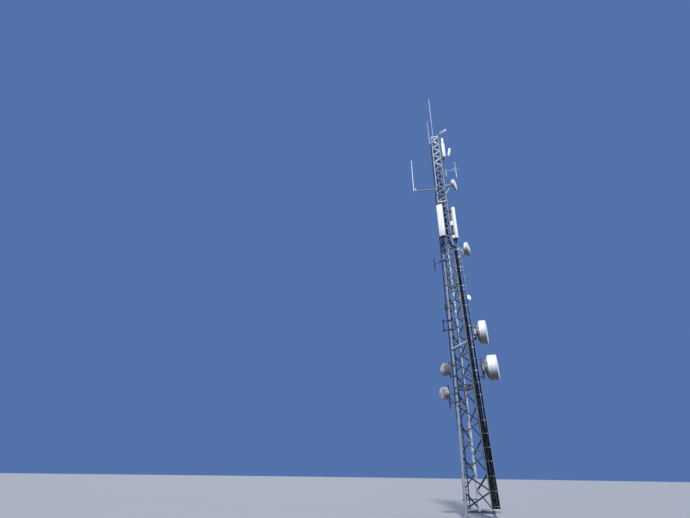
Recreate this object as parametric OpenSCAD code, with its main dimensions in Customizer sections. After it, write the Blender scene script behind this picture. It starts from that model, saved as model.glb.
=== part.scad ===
// Slim three-legged lattice telecom tower with feeder ladder, climbing ladder and antennas.
// Millimetres, +Z up. Origin: tower axis at the underside of the base frame.
// -Y is the front face (legs left and right), the third leg stands at the rear (+Y).

/* [Mast] */
// Height of the lattice from the base frame to the top ring
mast_h = 21800; // [21600:100:22200]
// Leg spacing at the foot, centre to centre
foot_w = 1160; // [1120:10:1200]
// Leg spacing at the first flange joint
joint1_w = 840; // [820:10:860]
// Leg spacing at the second flange joint
joint2_w = 600; // [590:10:620]
// Leg spacing at the third flange joint
joint3_w = 510; // [500:5:520]
// Leg spacing at the top
top_w = 430; // [420:5:440]
// Leg tube radius, bottom section
leg_r1 = 63.5; // [60:0.5:66]
// Leg tube radius, second section
leg_r2 = 50.8; // [48:0.1:52]
// Leg tube radius, third section
leg_r3 = 38; // [36:0.5:40]
// Leg tube radius, top section
leg_r4 = 30; // [28:0.5:32]

/* [Bracing] */
// Diagonals a face, bottom section
bays1 = 7; // [6:1:8]
// Diagonals a face, second section
bays2 = 10; // [9:1:11]
// Diagonals a face, third section
bays3 = 13; // [12:1:14]
// Diagonals a face, top section
bays4 = 17; // [16:1:18]

/* [Base] */
// Side of each square base plate
plate_w = 340; // [320:10:360]
// Spacing of the anchor bolt holes, both ways
bolt_pitch = 240; // [220:10:250]
// Radius of an anchor bolt hole
bolt_hole_r = 15; // [12:1:18]
// Thickness of the base frame and of each base plate
plate_t = 20; // [16:1:25]

/* [Ladders] */
// Clear width between the climbing ladder's stringers
climb_w = 380; // [350:10:400]
// Rung spacing
rung_pitch = 300; // [280:5:300]
// Width of the feeder ladder over its rails
feeder_w = 340; // [330:5:350]

/* [Antennas] */
// Diameter of the large shrouded dishes
drum_d = 1200; // [1180:10:1220]
// Depth of their shrouds
drum_depth = 400; // [380:10:420]
// Height of the sector panels
sector_h = 2150; // [2100:10:2200]
// Width of the sector panels
sector_w = 340; // [320:10:360]
// Height of the tall whip above the mast top
whip_h = 3500; // [3300:50:3600]

/* [Hidden] */

steel = [0.62, 0.65, 0.68];
dark = [0.12, 0.12, 0.13];
white = [0.92, 0.92, 0.90];
grey = [0.55, 0.56, 0.55];

// Section table: joint heights, leg spacings, leg radii, bracing angle sizes
secs = 4;
foot_z = plate_t;
jz = [foot_z, mast_h * 0.25, mast_h * 0.5, mast_h * 0.75, mast_h];
jw = [foot_w, joint1_w, joint2_w, joint3_w, top_w];
lr = [leg_r1, leg_r2, leg_r3, leg_r4];
bays = [bays1, bays2, bays3, bays4];
bar_w = [65, 55, 45, 40];
bar_t = [7, 6, 5, 5];

function sec_of(z) = z < jz[1] ? 0 : z < jz[2] ? 1 : z < jz[3] ? 2 : 3;
function side_at(z) = let (i = sec_of(z)) jw[i] + (jw[i + 1] - jw[i]) * (z - jz[i]) / (jz[i + 1] - jz[i]);
function leg_r_at(z) = lr[sec_of(z)];
// Leg directions seen from above: 0 left front, 1 right front, 2 rear
leg_a = [210, 330, 90];
function leg_xy(k, z) = [cos(leg_a[k]), sin(leg_a[k])] * side_at(z) / sqrt(3);
function leg_p(k, z) = [leg_xy(k, z)[0], leg_xy(k, z)[1], z];

// Straight bar of twelve sides between two points, r to its flats
module rod(a, b, r) {
  d = b - a;
  l = norm(d);
  translate(a) rotate([0, acos(d[2] / l), atan2(d[1], d[0])]) rotate([0, 0, 15])
    cylinder(h = l, r = r / cos(15), $fn = 12);
}
// Upright collar or pipe of twelve sides, r to its flats, turned by a
module post(p, z, h, r, a = 0) {
  translate([p[0], p[1], z]) rotate([0, 0, 15 + a]) cylinder(h = h, r = r / cos(15), $fn = 12);
}

// Leg tube of section i, drawn t short of both joints
function joint_p(k, i) = [cos(leg_a[k]) * jw[i] / sqrt(3), sin(leg_a[k]) * jw[i] / sqrt(3), jz[i]];
module leg_tube(k, i, t = 0) {
  a = joint_p(k, i);
  b = joint_p(k, i + 1);
  u = (b - a) / norm(b - a);
  rod(a + u * t, b - u * t, lr[i]);
}

// The tube of leg k near height z, a hair larger, to cut saddles
module leg_near(k, z) {
  i = sec_of(z);
  rod(joint_p(k, i), joint_p(k, i + 1), lr[i] + 0.1);
}

module anchor_holes(t) {
  for (x = [-1, 1], y = [-1, 1])
    translate([x * bolt_pitch / 2, y * bolt_pitch / 2, -1]) cylinder(h = t + 2, r = bolt_hole_r);
}

module leg(k) {
  foot = leg_xy(k, foot_z);
  difference() {
    union() {
      for (i = [0:secs - 1]) leg_tube(k, i, 6);
      // flange pairs at the section joints
      for (i = [1:secs - 1]) {
        p = leg_xy(k, jz[i]);
        post(p, jz[i] - 18, 36, lr[i - 1] + 45);
      }
      // cap plate
      p4 = leg_xy(k, mast_h);
      post(p4, mast_h - 12, 16, leg_r4 + 8);
    }
    translate([foot[0] - 300, foot[1] - 300, foot_z - 60]) cube([600, 600, 60 + plate_t]);
  }
}
// Base plate of each leg with two crossed stiffener webs
module foot_plates() {
  color(steel) for (k = [0:2]) {
    foot = leg_xy(k, foot_z);
    difference() {
      translate([foot[0] - plate_w / 2, foot[1] - plate_w / 2, foot_z]) cube([plate_w, plate_w, plate_t]);
      translate([foot[0], foot[1], foot_z]) anchor_holes(plate_t);
    }
    difference() {
      translate([foot[0], foot[1], foot_z + plate_t]) for (a = [45, 135])
        rotate([0, 0, a]) translate([0, 6, 0]) rotate([90, 0, 0]) linear_extrude(12)
          polygon([[-150, 0], [150, 0], [150, 25], [70, 190], [-70, 190], [-150, 25]]);
      leg_near(k, 100);
    }
  }
}
module leg_left() { color(steel) leg(0); }
module leg_right() { color(steel) leg(1); }
module leg_rear() { color(steel) leg(2); }

// Flat steel frame that ties the three feet
module base_frame() {
  color(grey) difference() {
    union() {
      for (k = [0:2]) {
        a = leg_xy(k, foot_z);
        b = leg_xy((k + 1) % 3, foot_z);
        translate([a[0] - plate_w / 2, a[1] - plate_w / 2, 0]) cube([plate_w, plate_w, plate_t]);
        translate([a[0], a[1], 0]) rotate([0, 0, atan2(b[1] - a[1], b[0] - a[0])])
          translate([0, -60, 0]) cube([norm(b - a), 120, plate_t]);
      }
    }
    for (k = [0:2]) translate([leg_xy(k, foot_z)[0], leg_xy(k, foot_z)[1], 0]) anchor_holes(plate_t);
  }
}

// Bracing of one face: single zigzag of angles with a tie at both ends of each section.
// Faces: 0 front, 1 right rear, 2 left rear. Drawn for the front and turned.
module angle_bar(i, va, vb, hv) {
  // va, vb: heights of the bar's centre line at the left and right leg
  tau = atan((jw[i] - jw[i + 1]) / (2 * sqrt(3)) / (jz[i + 1] - jz[i]));
  lv = (jz[i + 1] - jz[i]) / cos(tau);
  hw = bar_w[i] / 2 * sqrt(1 + pow((vb - va) / side_at(jz[i] + va), 2));
  tv = bar_t[i] * sqrt(1 + pow((vb - va) / side_at(jz[i] + va), 2));
  function e(v) = jw[i] / 2 + (jw[i + 1] - jw[i]) / 2 * v / lv - lr[i] - 0.5;
  linear_extrude(bar_t[i]) polygon([[-e(va - hw), va - hw], [e(vb - hw), vb - hw], [e(vb + hw), vb + hw], [-e(va + hw), va + hw]]);
  linear_extrude(bar_w[i] * 0.6) polygon([[1.5 - e(va - hw), va - hw], [e(vb - hw) - 1.5, vb - hw], [e(vb - hw + tv) - 1.5, vb - hw + tv], [1.5 - e(va - hw + tv), va - hw + tv]]);
}
function tau_of(i) = atan((jw[i] - jw[i + 1]) / (2 * sqrt(3)) / (jz[i + 1] - jz[i]));
function len_of(i) = (jz[i + 1] - jz[i]) / cos(tau_of(i));
// Heights of the ties, and the clear run of the zigzag between them
function tie0_of(i) = i == 0 ? 250 : 75;
function tie1_of(i) = len_of(i) - 75;
function run0_of(i) = tie0_of(i) + bar_w[i] * 1.4;
function step_of(i) = (tie1_of(i) - tie0_of(i) - bar_w[i] * 2.8) / bays[i];
// Height nearest z at which no bracing meets a leg, where a clamp fits
function clear_z(z) = let (i = sec_of(z), c = cos(tau_of(i)), j = round(((z - jz[i]) / c - run0_of(i)) / step_of(i) - 0.5))
  jz[i] + c * (run0_of(i) + step_of(i) * (min(max(j, 0), bays[i] - 1) + 0.5));
// Height midway between two bracing ends, in bay n of section i
function level(i, n) = jz[i] + cos(tau_of(i)) * (run0_of(i) + step_of(i) * (n + 0.5));
module face_section(f, i) {
  tau = tau_of(i);
  tie0 = tie0_of(i);
  tie1 = tie1_of(i);
  z0 = run0_of(i);
  step = step_of(i);
  inset = bar_w[i] * 0.75;
  rotate([0, 0, f * 120]) translate([0, -jw[i] / (2 * sqrt(3)), jz[i]]) rotate([90 - tau, 0, 0])
    translate([0, 0, -bar_t[i] / 2]) {
      angle_bar(i, tie0, tie0);
      angle_bar(i, tie1, tie1);
      for (j = [0:bays[i] - 1]) {
        lo = z0 + step * j + inset;
        hi = z0 + step * (j + 1) - inset;
        angle_bar(i, (j % 2 == 0) ? lo : hi, (j % 2 == 0) ? hi : lo);
      }
    }
}
module front_bracing_lower() { color(steel) for (i = [0, 1]) face_section(0, i); }
module front_bracing_upper() { color(steel) for (i = [2, 3]) face_section(0, i); }
module right_bracing_lower() { color(steel) for (i = [0, 1]) face_section(1, i); }
module right_bracing_upper() { color(steel) for (i = [2, 3]) face_section(1, i); }
module left_bracing_lower() { color(steel) for (i = [0, 1]) face_section(2, i); }
module left_bracing_upper() { color(steel) for (i = [2, 3]) face_section(2, i); }

// Climbing ladder outside the left face, leaning in with the mast.
// In its own frame: +X along the face, -Y outward, Z up.
climb_z0 = 350;
climb_z1 = 21200;
climb_d0 = 560;
climb_d1 = 240;
climb_tau = atan((climb_d0 - climb_d1) / (climb_z1 - climb_z0));
climb_l = (climb_z1 - climb_z0) / cos(climb_tau);
function climb_d(z) = climb_d0 + (climb_d1 - climb_d0) * (z - climb_z0) / (climb_z1 - climb_z0);
module climb_frame() {
  rotate([0, 0, 240]) translate([0, -climb_d0, climb_z0]) rotate([-climb_tau, 0, 0]) children();
}
module climbing_ladder() {
  color(steel) climb_frame() {
    for (x = [-1, 1]) translate([x * (climb_w / 2 + 6) - 6, -27, 0]) cube([12, 54, climb_l]);
    for (j = [0:floor((climb_l - 200) / rung_pitch)])
      translate([-climb_w / 2 - 1, 0, 120 + j * rung_pitch]) rotate([0, 90, 0]) cylinder(h = climb_w + 2, r = 11);
  }
}
climb_brackets = [level(0, 0), level(0, 2), level(0, 4), level(0, 6), level(1, 2), level(1, 4), level(1, 8), level(2, 1),
  level(2, 5), level(2, 9), level(3, 1), level(3, 6), level(3, 11), level(3, 14)];
module climbing_ladder_brackets() {
  color(steel) for (z = climb_brackets) {
    s = side_at(z);
    r = leg_r_at(z);
    d = s / (2 * sqrt(3));
    difference() {
      rotate([0, 0, 240]) {
        // cross bar on the outside of both legs
        translate([-s / 2 - 30, -d - r - 26, z - 25]) cube([s + 60, 32, 50]);
        for (x = [-1, 1]) translate([x * (climb_w / 2 + 12) - (x < 0 ? 8 : 0), -climb_d(z) - 20, z - 20])
          cube([8, climb_d(z) + 20 - d - r - 20, 40]);
      }
      leg_near(0, z);
      leg_near(2, z);
    }
  }
}

// Feeder ladder in front of and outside the right leg
feed_a = [685, -480, 350];
feed_b = [463, -292, 13050];
feed_l = norm(feed_b - feed_a);
feed_rx = asin(-(feed_b[1] - feed_a[1]) / feed_l);
feed_ry = atan2(feed_b[0] - feed_a[0], feed_b[2] - feed_a[2]);
function feed_p(z) = feed_a + (feed_b - feed_a) * (z - feed_a[2]) / (feed_b[2] - feed_a[2]);
module feeder_frame() { translate(feed_a) rotate([feed_rx, feed_ry, 0]) children(); }
feed_rungs = 11;
feed_pitch = 1130;
feed_brackets = [level(0, 0), level(0, 3), level(0, 6), level(1, 3), level(1, 6), level(1, 9), level(2, 1), level(2, 3) + 70];
module feeder_ladder() {
  color(steel) feeder_frame() {
    for (x = [-1, 1]) translate([x * (feeder_w / 2 - 5) - 5, -20, 0]) cube([10, 40, feed_l]);
    for (j = [0:feed_rungs]) translate([-feeder_w / 2 + 5, -6, 150 + j * feed_pitch]) cube([feeder_w - 10, 30, 30]);
    // short bracket stub left on the outer rail
    translate([feeder_w / 2, -15, 10840]) cube([95, 30, 30]);
  }
}
// stand-off arms back to the right leg
module feeder_ladder_brackets() {
  color(steel) for (z = feed_brackets) {
    p = feed_p(z);
    q = leg_p(1, z);
    difference() {
      union() {
        translate([q[0] - 25, p[1] + 16, z - 22]) cube([p[0] + feeder_w / 2 - q[0] + 25, 14, 44]);
        translate([q[0] - 25, p[1] + 16, z - 22]) cube([50, q[1] - p[1] - 16, 44]);
      }
      leg_near(1, z);
      feeder_frame() translate([-feeder_w / 2 - 5, -30, 0]) cube([feeder_w + 10, 50.1, feed_l]);
    }
  }
}
// Feeder cables on the ladder: place from its inner rail, radius, top height
cables = [[34, 14, 12950], [66, 14, 12950], [98, 14, 12950], [130, 14, 12950], [162, 14, 12950],
          [194, 16, 5600], [228, 16, 3700], [260, 14, 7500], [288, 14, 12200], [314, 12, 9700]];
function cable_p(c, z) = let (t = (z - feed_a[2]) / (feed_b[2] - feed_a[2])) feed_p(z)
  + [-feeder_w / 2 + cables[c][0], -6.2 - cables[c][1], 0];
cable_dir = (feed_b - feed_a) / feed_l;
module feeder_cables() {
  color(dark) for (c = [0:len(cables) - 1]) {
    a = cable_p(c, 370);
    b = cable_p(c, cables[c][2]);
    cable([a, b], cables[c][1], 12);
  }
}
// Smooth path through route points
function unit(v) = v / norm(v);
function tang(p, i) = i == 0 ? unit(p[1] - p[0]) : i == len(p) - 1 ? unit(p[i] - p[i - 1])
  : unit(unit(p[i + 1] - p[i]) + unit(p[i] - p[i - 1]));
function herm(a, b, ta, tb, t) = let (l = norm(b - a))
  a * (2 * t * t * t - 3 * t * t + 1) + ta * l * (t * t * t - 2 * t * t + t) + b * (3 * t * t - 2 * t * t * t) + tb * l * (t * t * t - t * t);
function smooth(p, k) = [for (i = [0:len(p) - 2]) each [for (s = [0:(norm(p[i + 1] - p[i]) > 700 ? 0 : k - 1)])
  herm(p[i], p[i + 1], tang(p, i), tang(p, i + 1), s / k)], p[len(p) - 1]];
// Round cable swept along a path, n sides
module cable(p, r, n = 8) {
  m = len(p);
  polyhedron(points = [for (i = [0:m - 1]) let (t = tang(p, i), u = unit(cross(t, [0, 1, 0])), v = cross(t, u))
      for (j = [0:n - 1]) p[i] + r * (u * cos(360 * j / n) + v * sin(360 * j / n))],
    faces = concat([[for (j = [0:n - 1]) j]], [[for (j = [n - 1:-1:0]) (m - 1) * n + j]],
      [for (i = [0:m - 2], j = [0:n - 1]) each [[i * n + (j + 1) % n, i * n + j, (i + 1) * n + j],
        [i * n + (j + 1) % n, (i + 1) * n + j, (i + 1) * n + (j + 1) % n]]]));
}
arm_z = 17400;
sd_z = level(1, 8) + 60;
// Inner ladder that carries the cables up inside the mast, on arms from the rear leg
inner_z0 = 13700;
inner_z1 = 21300;
inner_arms = [level(2, 6) + 100, level(2, 10), level(3, 0), level(3, 4), level(3, 8), level(3, 12), level(3, 15)];
module mast_cable_ladder() {
  color(steel) difference() {
    union() {
      for (x = [-30, 98]) translate([x, 8, inner_z0]) cube([12, 26, inner_z1 - inner_z0]);
      for (z = inner_arms) {
        translate([-22, 0, z - 12]) cube([124, 24, 24]);
        translate([-12, 20, z - 12]) cube([24, leg_xy(2, z)[1] - 20, 24]);
      }
      for (z = [14500, 16000, 17250, 18500, 19700, 20800]) translate([-22, 0, z - 12]) cube([124, 24, 24]);
    }
    for (z = inner_arms) leg_near(2, z);
  }
}
// Cables inside the mast, then out to the slim panel, the tall whip, the upper dish and the side whip
mast_routes = [
  [[60, -60, 13950], [12, -22, 14350], [12, -14.4, 14700], [12, -14.4, 20350], [0, -40, 20700], [-50, -105, 20960], [-95, -170, 21040], [-100, -185, 21090], [-100, -185, 21149.2]],
  [[85, -62, 13940], [40, -22, 14350], [40, -14.4, 14700], [40, -14.4, 18950], [60, -60, 19280], [105, -150, 19500], [190, -222, 19590], [310, -245, 19600], [425, -236, 19640], [450, -230, 19710], [450, -230, 19779.2]],
  [[110, -64, 13930], [68, -22, 14350], [68, -14.4, 14700], [68, -14.4, 16550], [85, -60, 16850], [120, -150, 17060], [190, -220, 17150], [330, -240, 17280], [470, -215, 17400], [560, -190, 17440]],
  [[140, -66, 13920], [92, -22, 14350], [92, -12.4, 14700], [80, -12.4, 16650], [20, -40, 16920], [-60, -120, 17040], [-150, -215, 17180], [-400, -210, 17320], [-1480, -190, 17425], [-1610, -165, 17440], [-1662, -140, 17500], [-1662, -140, arm_z + 109]]];
mast_r = [14, 14, 14, 10];
function mast_path(i) = let (a = cable_p(i, cables[i][2])) concat([a + cable_dir * 0.1], smooth(concat(
  [a + cable_dir * 20, a + cable_dir * 110, [150 + 34 * i, -232, 13290], [105 + 34 * i, -122, 13560]], mast_routes[i]), 4));
module mast_cables() { color(dark) for (i = [0:3]) cable(mast_path(i), mast_r[i], 8); }
// Jumpers from the ladder to the antennas beside it
jump_from = [4, 5, 6, 7, 8, 9];
jump_r = [12, 12, 9, 12, 10, 10];
jump_routes = [
  [[445, -330, 13200], [500, -235, 13400], [535, -110, 13520], [530, -10, 13600], [512, 45, 13700], [512, 45, 13779.2]],
  [[640, -462, 5730], [715, -475, 5790], [800, -465, 5830], [900, -420, 5880], [985, -365, 5960], [1000, -352, 6060], [1000, -352, 6139.7]],
  [[650, -487, 3790], [520, -489, 3835], [470, -489, 3848], [425, -460, 3862], [395, -385, 3890], [378, -318, 3930], [352, -284, 3952], [300, -281, 3985], [-300, -273.5, 4449], [-345, -292, 4495], [-400, -350, 4560], [-480, -372, 4640],
   [-600, -385, 4760], [-710, -385, 4870], [-790, -368, 4905], [-824, -352, 4950], [-833, -340, 4995], [-833, -340, 5045]],
  [[650, -432, 7620], [725, -448, 7700], [800, -430, 7760], [826, -385, 7840], [828, -370, 7900], [828, -370, 7959.7]],
  [[640, -352, 12320], [720, -330, 12400], [790, -245, 12450], [824, -165, 12490], [830, -148.4, 12560], [830, -148.4, 12633.6]],
  [[690, -400, 9780], [750, -370, 9840], [765, -250, 9860], [740, -140, 9860], [708, -80, 9890], [700, -73, 9950], [700, -73, sd_z - 50.3]]];
function jump_path(i) = let (c = jump_from[i], a = cable_p(c, cables[c][2])) concat([a + cable_dir * 0.1], smooth(concat(
  [a + cable_dir * 20, a + cable_dir * 70], jump_routes[i]), 4));
module antenna_jumpers() { color(dark) for (i = [0:5]) cable(jump_path(i), jump_r[i], 8); }

// ---- antennas ----
// Vertical mounting pipe with two arms to leg k
module pipe_mount(k, px, py, z0, z1, arms, r) {
  difference() {
    union() {
      post([px, py], z0, z1 - z0, r);
      for (z = arms) {
        q = leg_p(k, z);
        rod([px, py, z], [q[0], q[1], z], 22);
        // clamp blocks at the pipe and at the leg
        post([px, py], z - 45, 90, r + 14);
        post(q, z - 50, 100, leg_r_at(z) + 16);
      }
    }
    for (z = arms) leg_near(k, z);
  }
}

module tall_whip() {
  color(white) {
    translate([-100, -185, 21150]) cylinder(h = 1720, r = 13);
    translate([-100, -185, 22860]) cylinder(h = mast_h + whip_h - 22860 - 60, r = 17);
    translate([-100, -185, mast_h + whip_h - 60]) cylinder(h = 60, r = 9);
    for (z = [level(3, 15), level(3, 16)]) difference() {
      union() {
        translate([-200, -230, z - 22]) cube([125, 70, 44]);
        translate([-245, -230, z - 22]) cube([50, 90, 44]);
      }
      leg_near(0, z);
    }
  }
}
module short_whip() {
  color(white) {
    translate([-372, -150, 21130]) cylinder(h = 640, r = 20);
    translate([-372, -150, 21760]) cylinder(h = 1450, r = 16);
    for (z = [level(3, 15), level(3, 16)]) difference() {
      translate([-400, -172, z - 20]) cube([150, 60, 40]);
      leg_near(0, z);
      translate([-245, -231, z - 23]) cube([50, 92, 46]);
    }
  }
}
// Short yagi on top of the slim panel's pipe
module yagi_antenna() {
  color(white) difference() {
    union() {
      rod([330, -110, 21915], [800, -110, 22180], 18);
      for (j = [0:4]) let (t = 0.12 + j * 0.205) translate([330 + 470 * t, -110, 21915 + 265 * t])
        rod([0, 165 - j * 14, 0], [0, -165 + j * 14, 0], 12);
      translate([640, -140, 22075]) cube([110, 60, 70]);
      post([390, -110], 21925, 65, 32);
    }
    post([390, -110], 21900, 51, 24.1);
  }
}
// Rounded upright radome, standing at the origin, facing -Y
module radome(w, d, h, r) {
  linear_extrude(h) {
    translate([-w / 2 + r, -d / 2]) square([w - 2 * r, d]);
    translate([-w / 2, -d / 2 + r]) square([w, d - 2 * r]);
    for (x = [-1, 1], y = [-1, 1]) translate([x * (w / 2 - r), y * (d / 2 - r)]) circle(r = r, $fn = 32);
  }
}
module slim_panel() {
  color(white) translate([450, -230, 19780]) rotate([0, 0, 25]) {
    radome(205, 120, 1120, 40);
    translate([0, 0, 1120]) cylinder(h = 450, r = 76);
    translate([0, 0, 1570]) cylinder(h = 25, r = 60);
  }
}
module slim_panel_mount() {
  color(grey) {
    difference() {
      union() {
        post([390, -110], 18920, 3030, 24);
        for (z = [level(3, 8) + 10, level(3, 15)]) {
          q = leg_p(1, z);
          rod([390, -110, z], [q[0], q[1], z], 18);
          post(q, z - 40, 80, leg_r_at(z) + 14);
          post([390, -110], z - 35, 70, 36);
        }
        for (z = [19980, 20700]) rod([390, -110, z], [450, -230, z], 14);
      }
      leg_near(1, 19800);
      translate([450, -230, 19779]) rotate([0, 0, 25]) radome(205.2, 120.2, 1122, 40);
    }
  }
}
// Small panel that leans out, on an arm from the slim panel's pipe
module small_panel() {
  color(white) {
    translate([720, -110, 19890]) rotate([0, 12.5, 0]) rotate([0, 0, 40]) radome(150, 90, 620, 32);
    difference() {
      rod([414, -110, 20060], [800, -110, 20120], 16);
      translate([720, -110, 19890]) rotate([0, 12.5, 0]) rotate([0, 0, 40]) translate([0, 0, -1]) radome(150, 90, 622, 32);
      post([390, -110], 18920, 3030, 24);
    }
  }
}
// Long arm from a short pipe that two clamps hold on the left leg
module side_arm() {
  color(steel) difference() {
    union() {
      rod([-1560, -140, arm_z + 100], [-330, -150, arm_z], 24);
      post([-1530, -140], arm_z, 330, 22);
      post([-330, -150], level(3, 2) - 40, level(3, 3) - level(3, 2) + 80, 24);
      for (z = [level(3, 2), level(3, 3)]) {
        rod([-330, -150, z], [leg_xy(0, z)[0], leg_xy(0, z)[1], z], 18);
        post(leg_xy(0, z), z - 42, 84, leg_r4 + 16);
      }
      for (z = [arm_z + 170, arm_z + 250]) translate([-1640, -155, z]) cube([110, 30, 26]);
    }
    for (z = [level(3, 2), level(3, 3)]) leg_near(0, z);
    translate([-1662, -140, arm_z + 80]) cylinder(h = 460, r = 26.1);
  }
}
module side_whip() {
  color(white) {
    translate([-1662, -140, arm_z + 110]) cylinder(h = 440, r = 26);
    translate([-1662, -140, arm_z + 540]) cylinder(h = 2080, r = 22);
    translate([-1662, -140, arm_z + 2615]) cylinder(h = 20, r = 17);
  }
}
gp_z = level(3, 7) - 95;
module ground_plane_arm() {
  color(steel) difference() {
    union() {
      rod([1036, -140, gp_z], [440, -140, gp_z], 18);
      post([440, -140], 18230, 640, 20);
      for (z = [level(3, 6) - 30, level(3, 7) + 20]) {
        rod([440, -140, z], [leg_xy(1, z)[0], leg_xy(1, z)[1], z], 16);
        post(leg_xy(1, z), z - 40, 80, leg_r4 + 16);
        post([440, -140], z - 30, 60, 30);
      }
    }
    leg_near(1, gp_z);
    translate([1036, -140, gp_z - 620]) cylinder(h = 700, r = 19);
  }
}
module ground_plane_antenna() {
  color(white) {
    translate([1036, -140, gp_z - 620]) cylinder(h = 800, r = 19);
    translate([1036, -140, gp_z + 175]) cylinder(h = 470, r = 15);
    for (a = [20, 110, 200, 290]) rotate_about([1036, -140, gp_z + 150], a) rod([0, 0, 0], [215, 0, -165], 11);
  }
}
module rotate_about(p, a) { translate(p) rotate([0, 0, a]) children(); }

// Shrouded dish, axis +Z, radome at z = depth, cone behind
module drum(d, depth) {
  r = d / 2;
  rotate_extrude($fn = 72) polygon([[0, -0.16 * d], [0.14 * d, -0.16 * d], [0.14 * d, -0.12 * d],
    [0.30 * d, -0.085 * d], [0.44 * d, -0.02 * d], [r - 6, 0], [r, 0], [r, depth], [r - 4, depth + 6],
    [0.35 * d, depth + 0.022 * d], [0.18 * d, depth + 0.032 * d], [0, depth + 0.036 * d]]);
}
// Aim an axis: turn +Z to the horizontal direction a (degrees from +X), tilt up e
module aim(p, a, e = 0) { translate(p) rotate([0, 90 - e, a]) children(); }

ud_c = [770, -145, 17500];
ud_a = -18;
ud_e = 2;
ud_d = 700;
module upper_dish() { color(white) aim(ud_c, ud_a, ud_e) drum(ud_d, 110); }
// V of two struts from the right leg to a short pipe behind the dish
module upper_dish_mount() {
  hub = [552, -136, 17470];
  za = level(3, 1) - 30;
  zb = level(3, 3) + 25;
  qa = leg_p(1, za);
  qb = leg_p(1, zb);
  color(grey) difference() {
    union() {
      post([hub[0], hub[1]], hub[2] - 190, 380, 30);
      rod(qa, [hub[0], hub[1], hub[2] - 60], 22);
      rod(qb, [hub[0], hub[1], hub[2] + 110], 22);
      post(qa, za - 40, 80, leg_r4 + 16);
      post(qb, zb - 40, 80, leg_r4 + 16);
      rod([hub[0], hub[1], hub[2] + 20], [ud_c[0] - 70, ud_c[1] + 23, ud_c[2] - 3], 30);
    }
    leg_near(1, za);
    aim(ud_c, ud_a, ud_e) translate([0, 0, -0.16 * ud_d]) cylinder(h = 90, r = 0.14 * ud_d);
  }
}
sec_a_l = -102;
sec_a_r = 30;
sec_z = 13800;
sec_d = 185;
sec_p_l = [-215, -470];
sec_p_r = [512, 50];
module sector(p, a) {
  translate([p[0], p[1], sec_z]) rotate([0, 0, a + 90]) {
    radome(sector_w, sec_d, sector_h, 50);
    translate([0, 0, -20]) radome(sector_w - 24, sec_d - 24, 21, 40);
  }
}
module sector_panel_left() { color(white) sector(sec_p_l, sec_a_l); }
module sector_panel_right() { color(white) sector(sec_p_r, sec_a_r); }
module sector_mount(k, p, a, back) {
  px = p[0] - cos(a) * back;
  py = p[1] - sin(a) * back;
  pipe_mount(k, px, py, sec_z + 60, sec_z + sector_h + 60, [level(2, 7), level(2, 11)], 30);
  for (z = [sec_z + 360, sec_z + sector_h - 220])
    translate([p[0], p[1], z]) rotate([0, 0, a]) translate([-back, -35, -25]) cube([back - sec_d / 2 - 0.2, 70, 50]);
}
module sector_mount_left() { color(grey) sector_mount(0, sec_p_l, sec_a_l, 175); }
module sector_mount_right() { color(grey) sector_mount(1, sec_p_r, sec_a_r, 175); }
module radio_unit() {
  color(white) {
    px = sec_p_r[0] - cos(sec_a_r) * 175;
    py = sec_p_r[1] - sin(sec_a_r) * 175;
    translate([px - 50, py - 30.2 - 110, 14660]) cube([150, 110, 280]);
    translate([px - 30, py - 30.2 - 120, 13790]) cube([130, 120, 182]);
  }
}
md_c = [975, -190, 12900];
md_a = -16;
md_e = 2;
module mid_dish() {
  color(white) aim(md_c, md_a, md_e) {
    drum(800, 130);
    // radio box behind the hub
    translate([60, -70, -190]) cube([200, 140, 62.5]);
  }
}
module mid_dish_mount() {
  color(grey) difference() {
    union() {
      pipe_mount(1, 600, -170, 12120, 13180, [level(2, 3) - 60, level(2, 4) + 60], 30);
      rod([600, -170, 12900], [875, -157, 12898], 32);
    }
    aim(md_c, md_a, md_e) translate([0, 0, -128]) cylinder(h = 140, r = 112);
    aim(md_c, md_a, md_e) translate([60, -70, -190]) cube([200, 140, 70]);
  }
}
dip_z = level(2, 3) - 60;
module dipole_antenna() {
  color(dark) difference() {
    union() {
      post([-845, -160], 11800, 830, 30);
      rod([-845, -160, dip_z - 170], [-505, -160, dip_z - 20], 18);
      rod([-520, -160, dip_z], [-285, -160, dip_z], 24);
      post([-510, -160], dip_z - 50, 110, 40);
      post(leg_xy(0, dip_z), dip_z - 50, 100, leg_r3 + 20);
    }
    leg_near(0, dip_z);
  }
}
module small_dish() {
  color(white) difference() {
    union() {
      aim([750, -120, sd_z], -42, 0) rotate_extrude($fn = 48) polygon([[0, -90], [50, -90], [50, -50], [140, -10], [150, 0], [150, 40], [90, 52], [0, 56]]);
      rod([300, -170, sd_z], [690, -66, sd_z], 18);
      post(leg_xy(1, sd_z), sd_z - 50, 100, leg_r2 + 16);
    }
    leg_near(1, sd_z);
  }
}
module junction_box() {
  color(dark) difference() {
    union() {
      translate([-545, -300, 9440]) cube([165, 110, 300]);
      translate([-400, -230, 9450]) cube([70, 40, 40]);
      translate([-400, -230, 9535]) cube([70, 40, 40]);
    }
    leg_near(0, 9500);
  }
}
module spare_mount() { color(dark) pipe_mount(0, -695, -210, 8230, 8900, [level(1, 5) - 110, level(1, 6) - 120], 28); }

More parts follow.
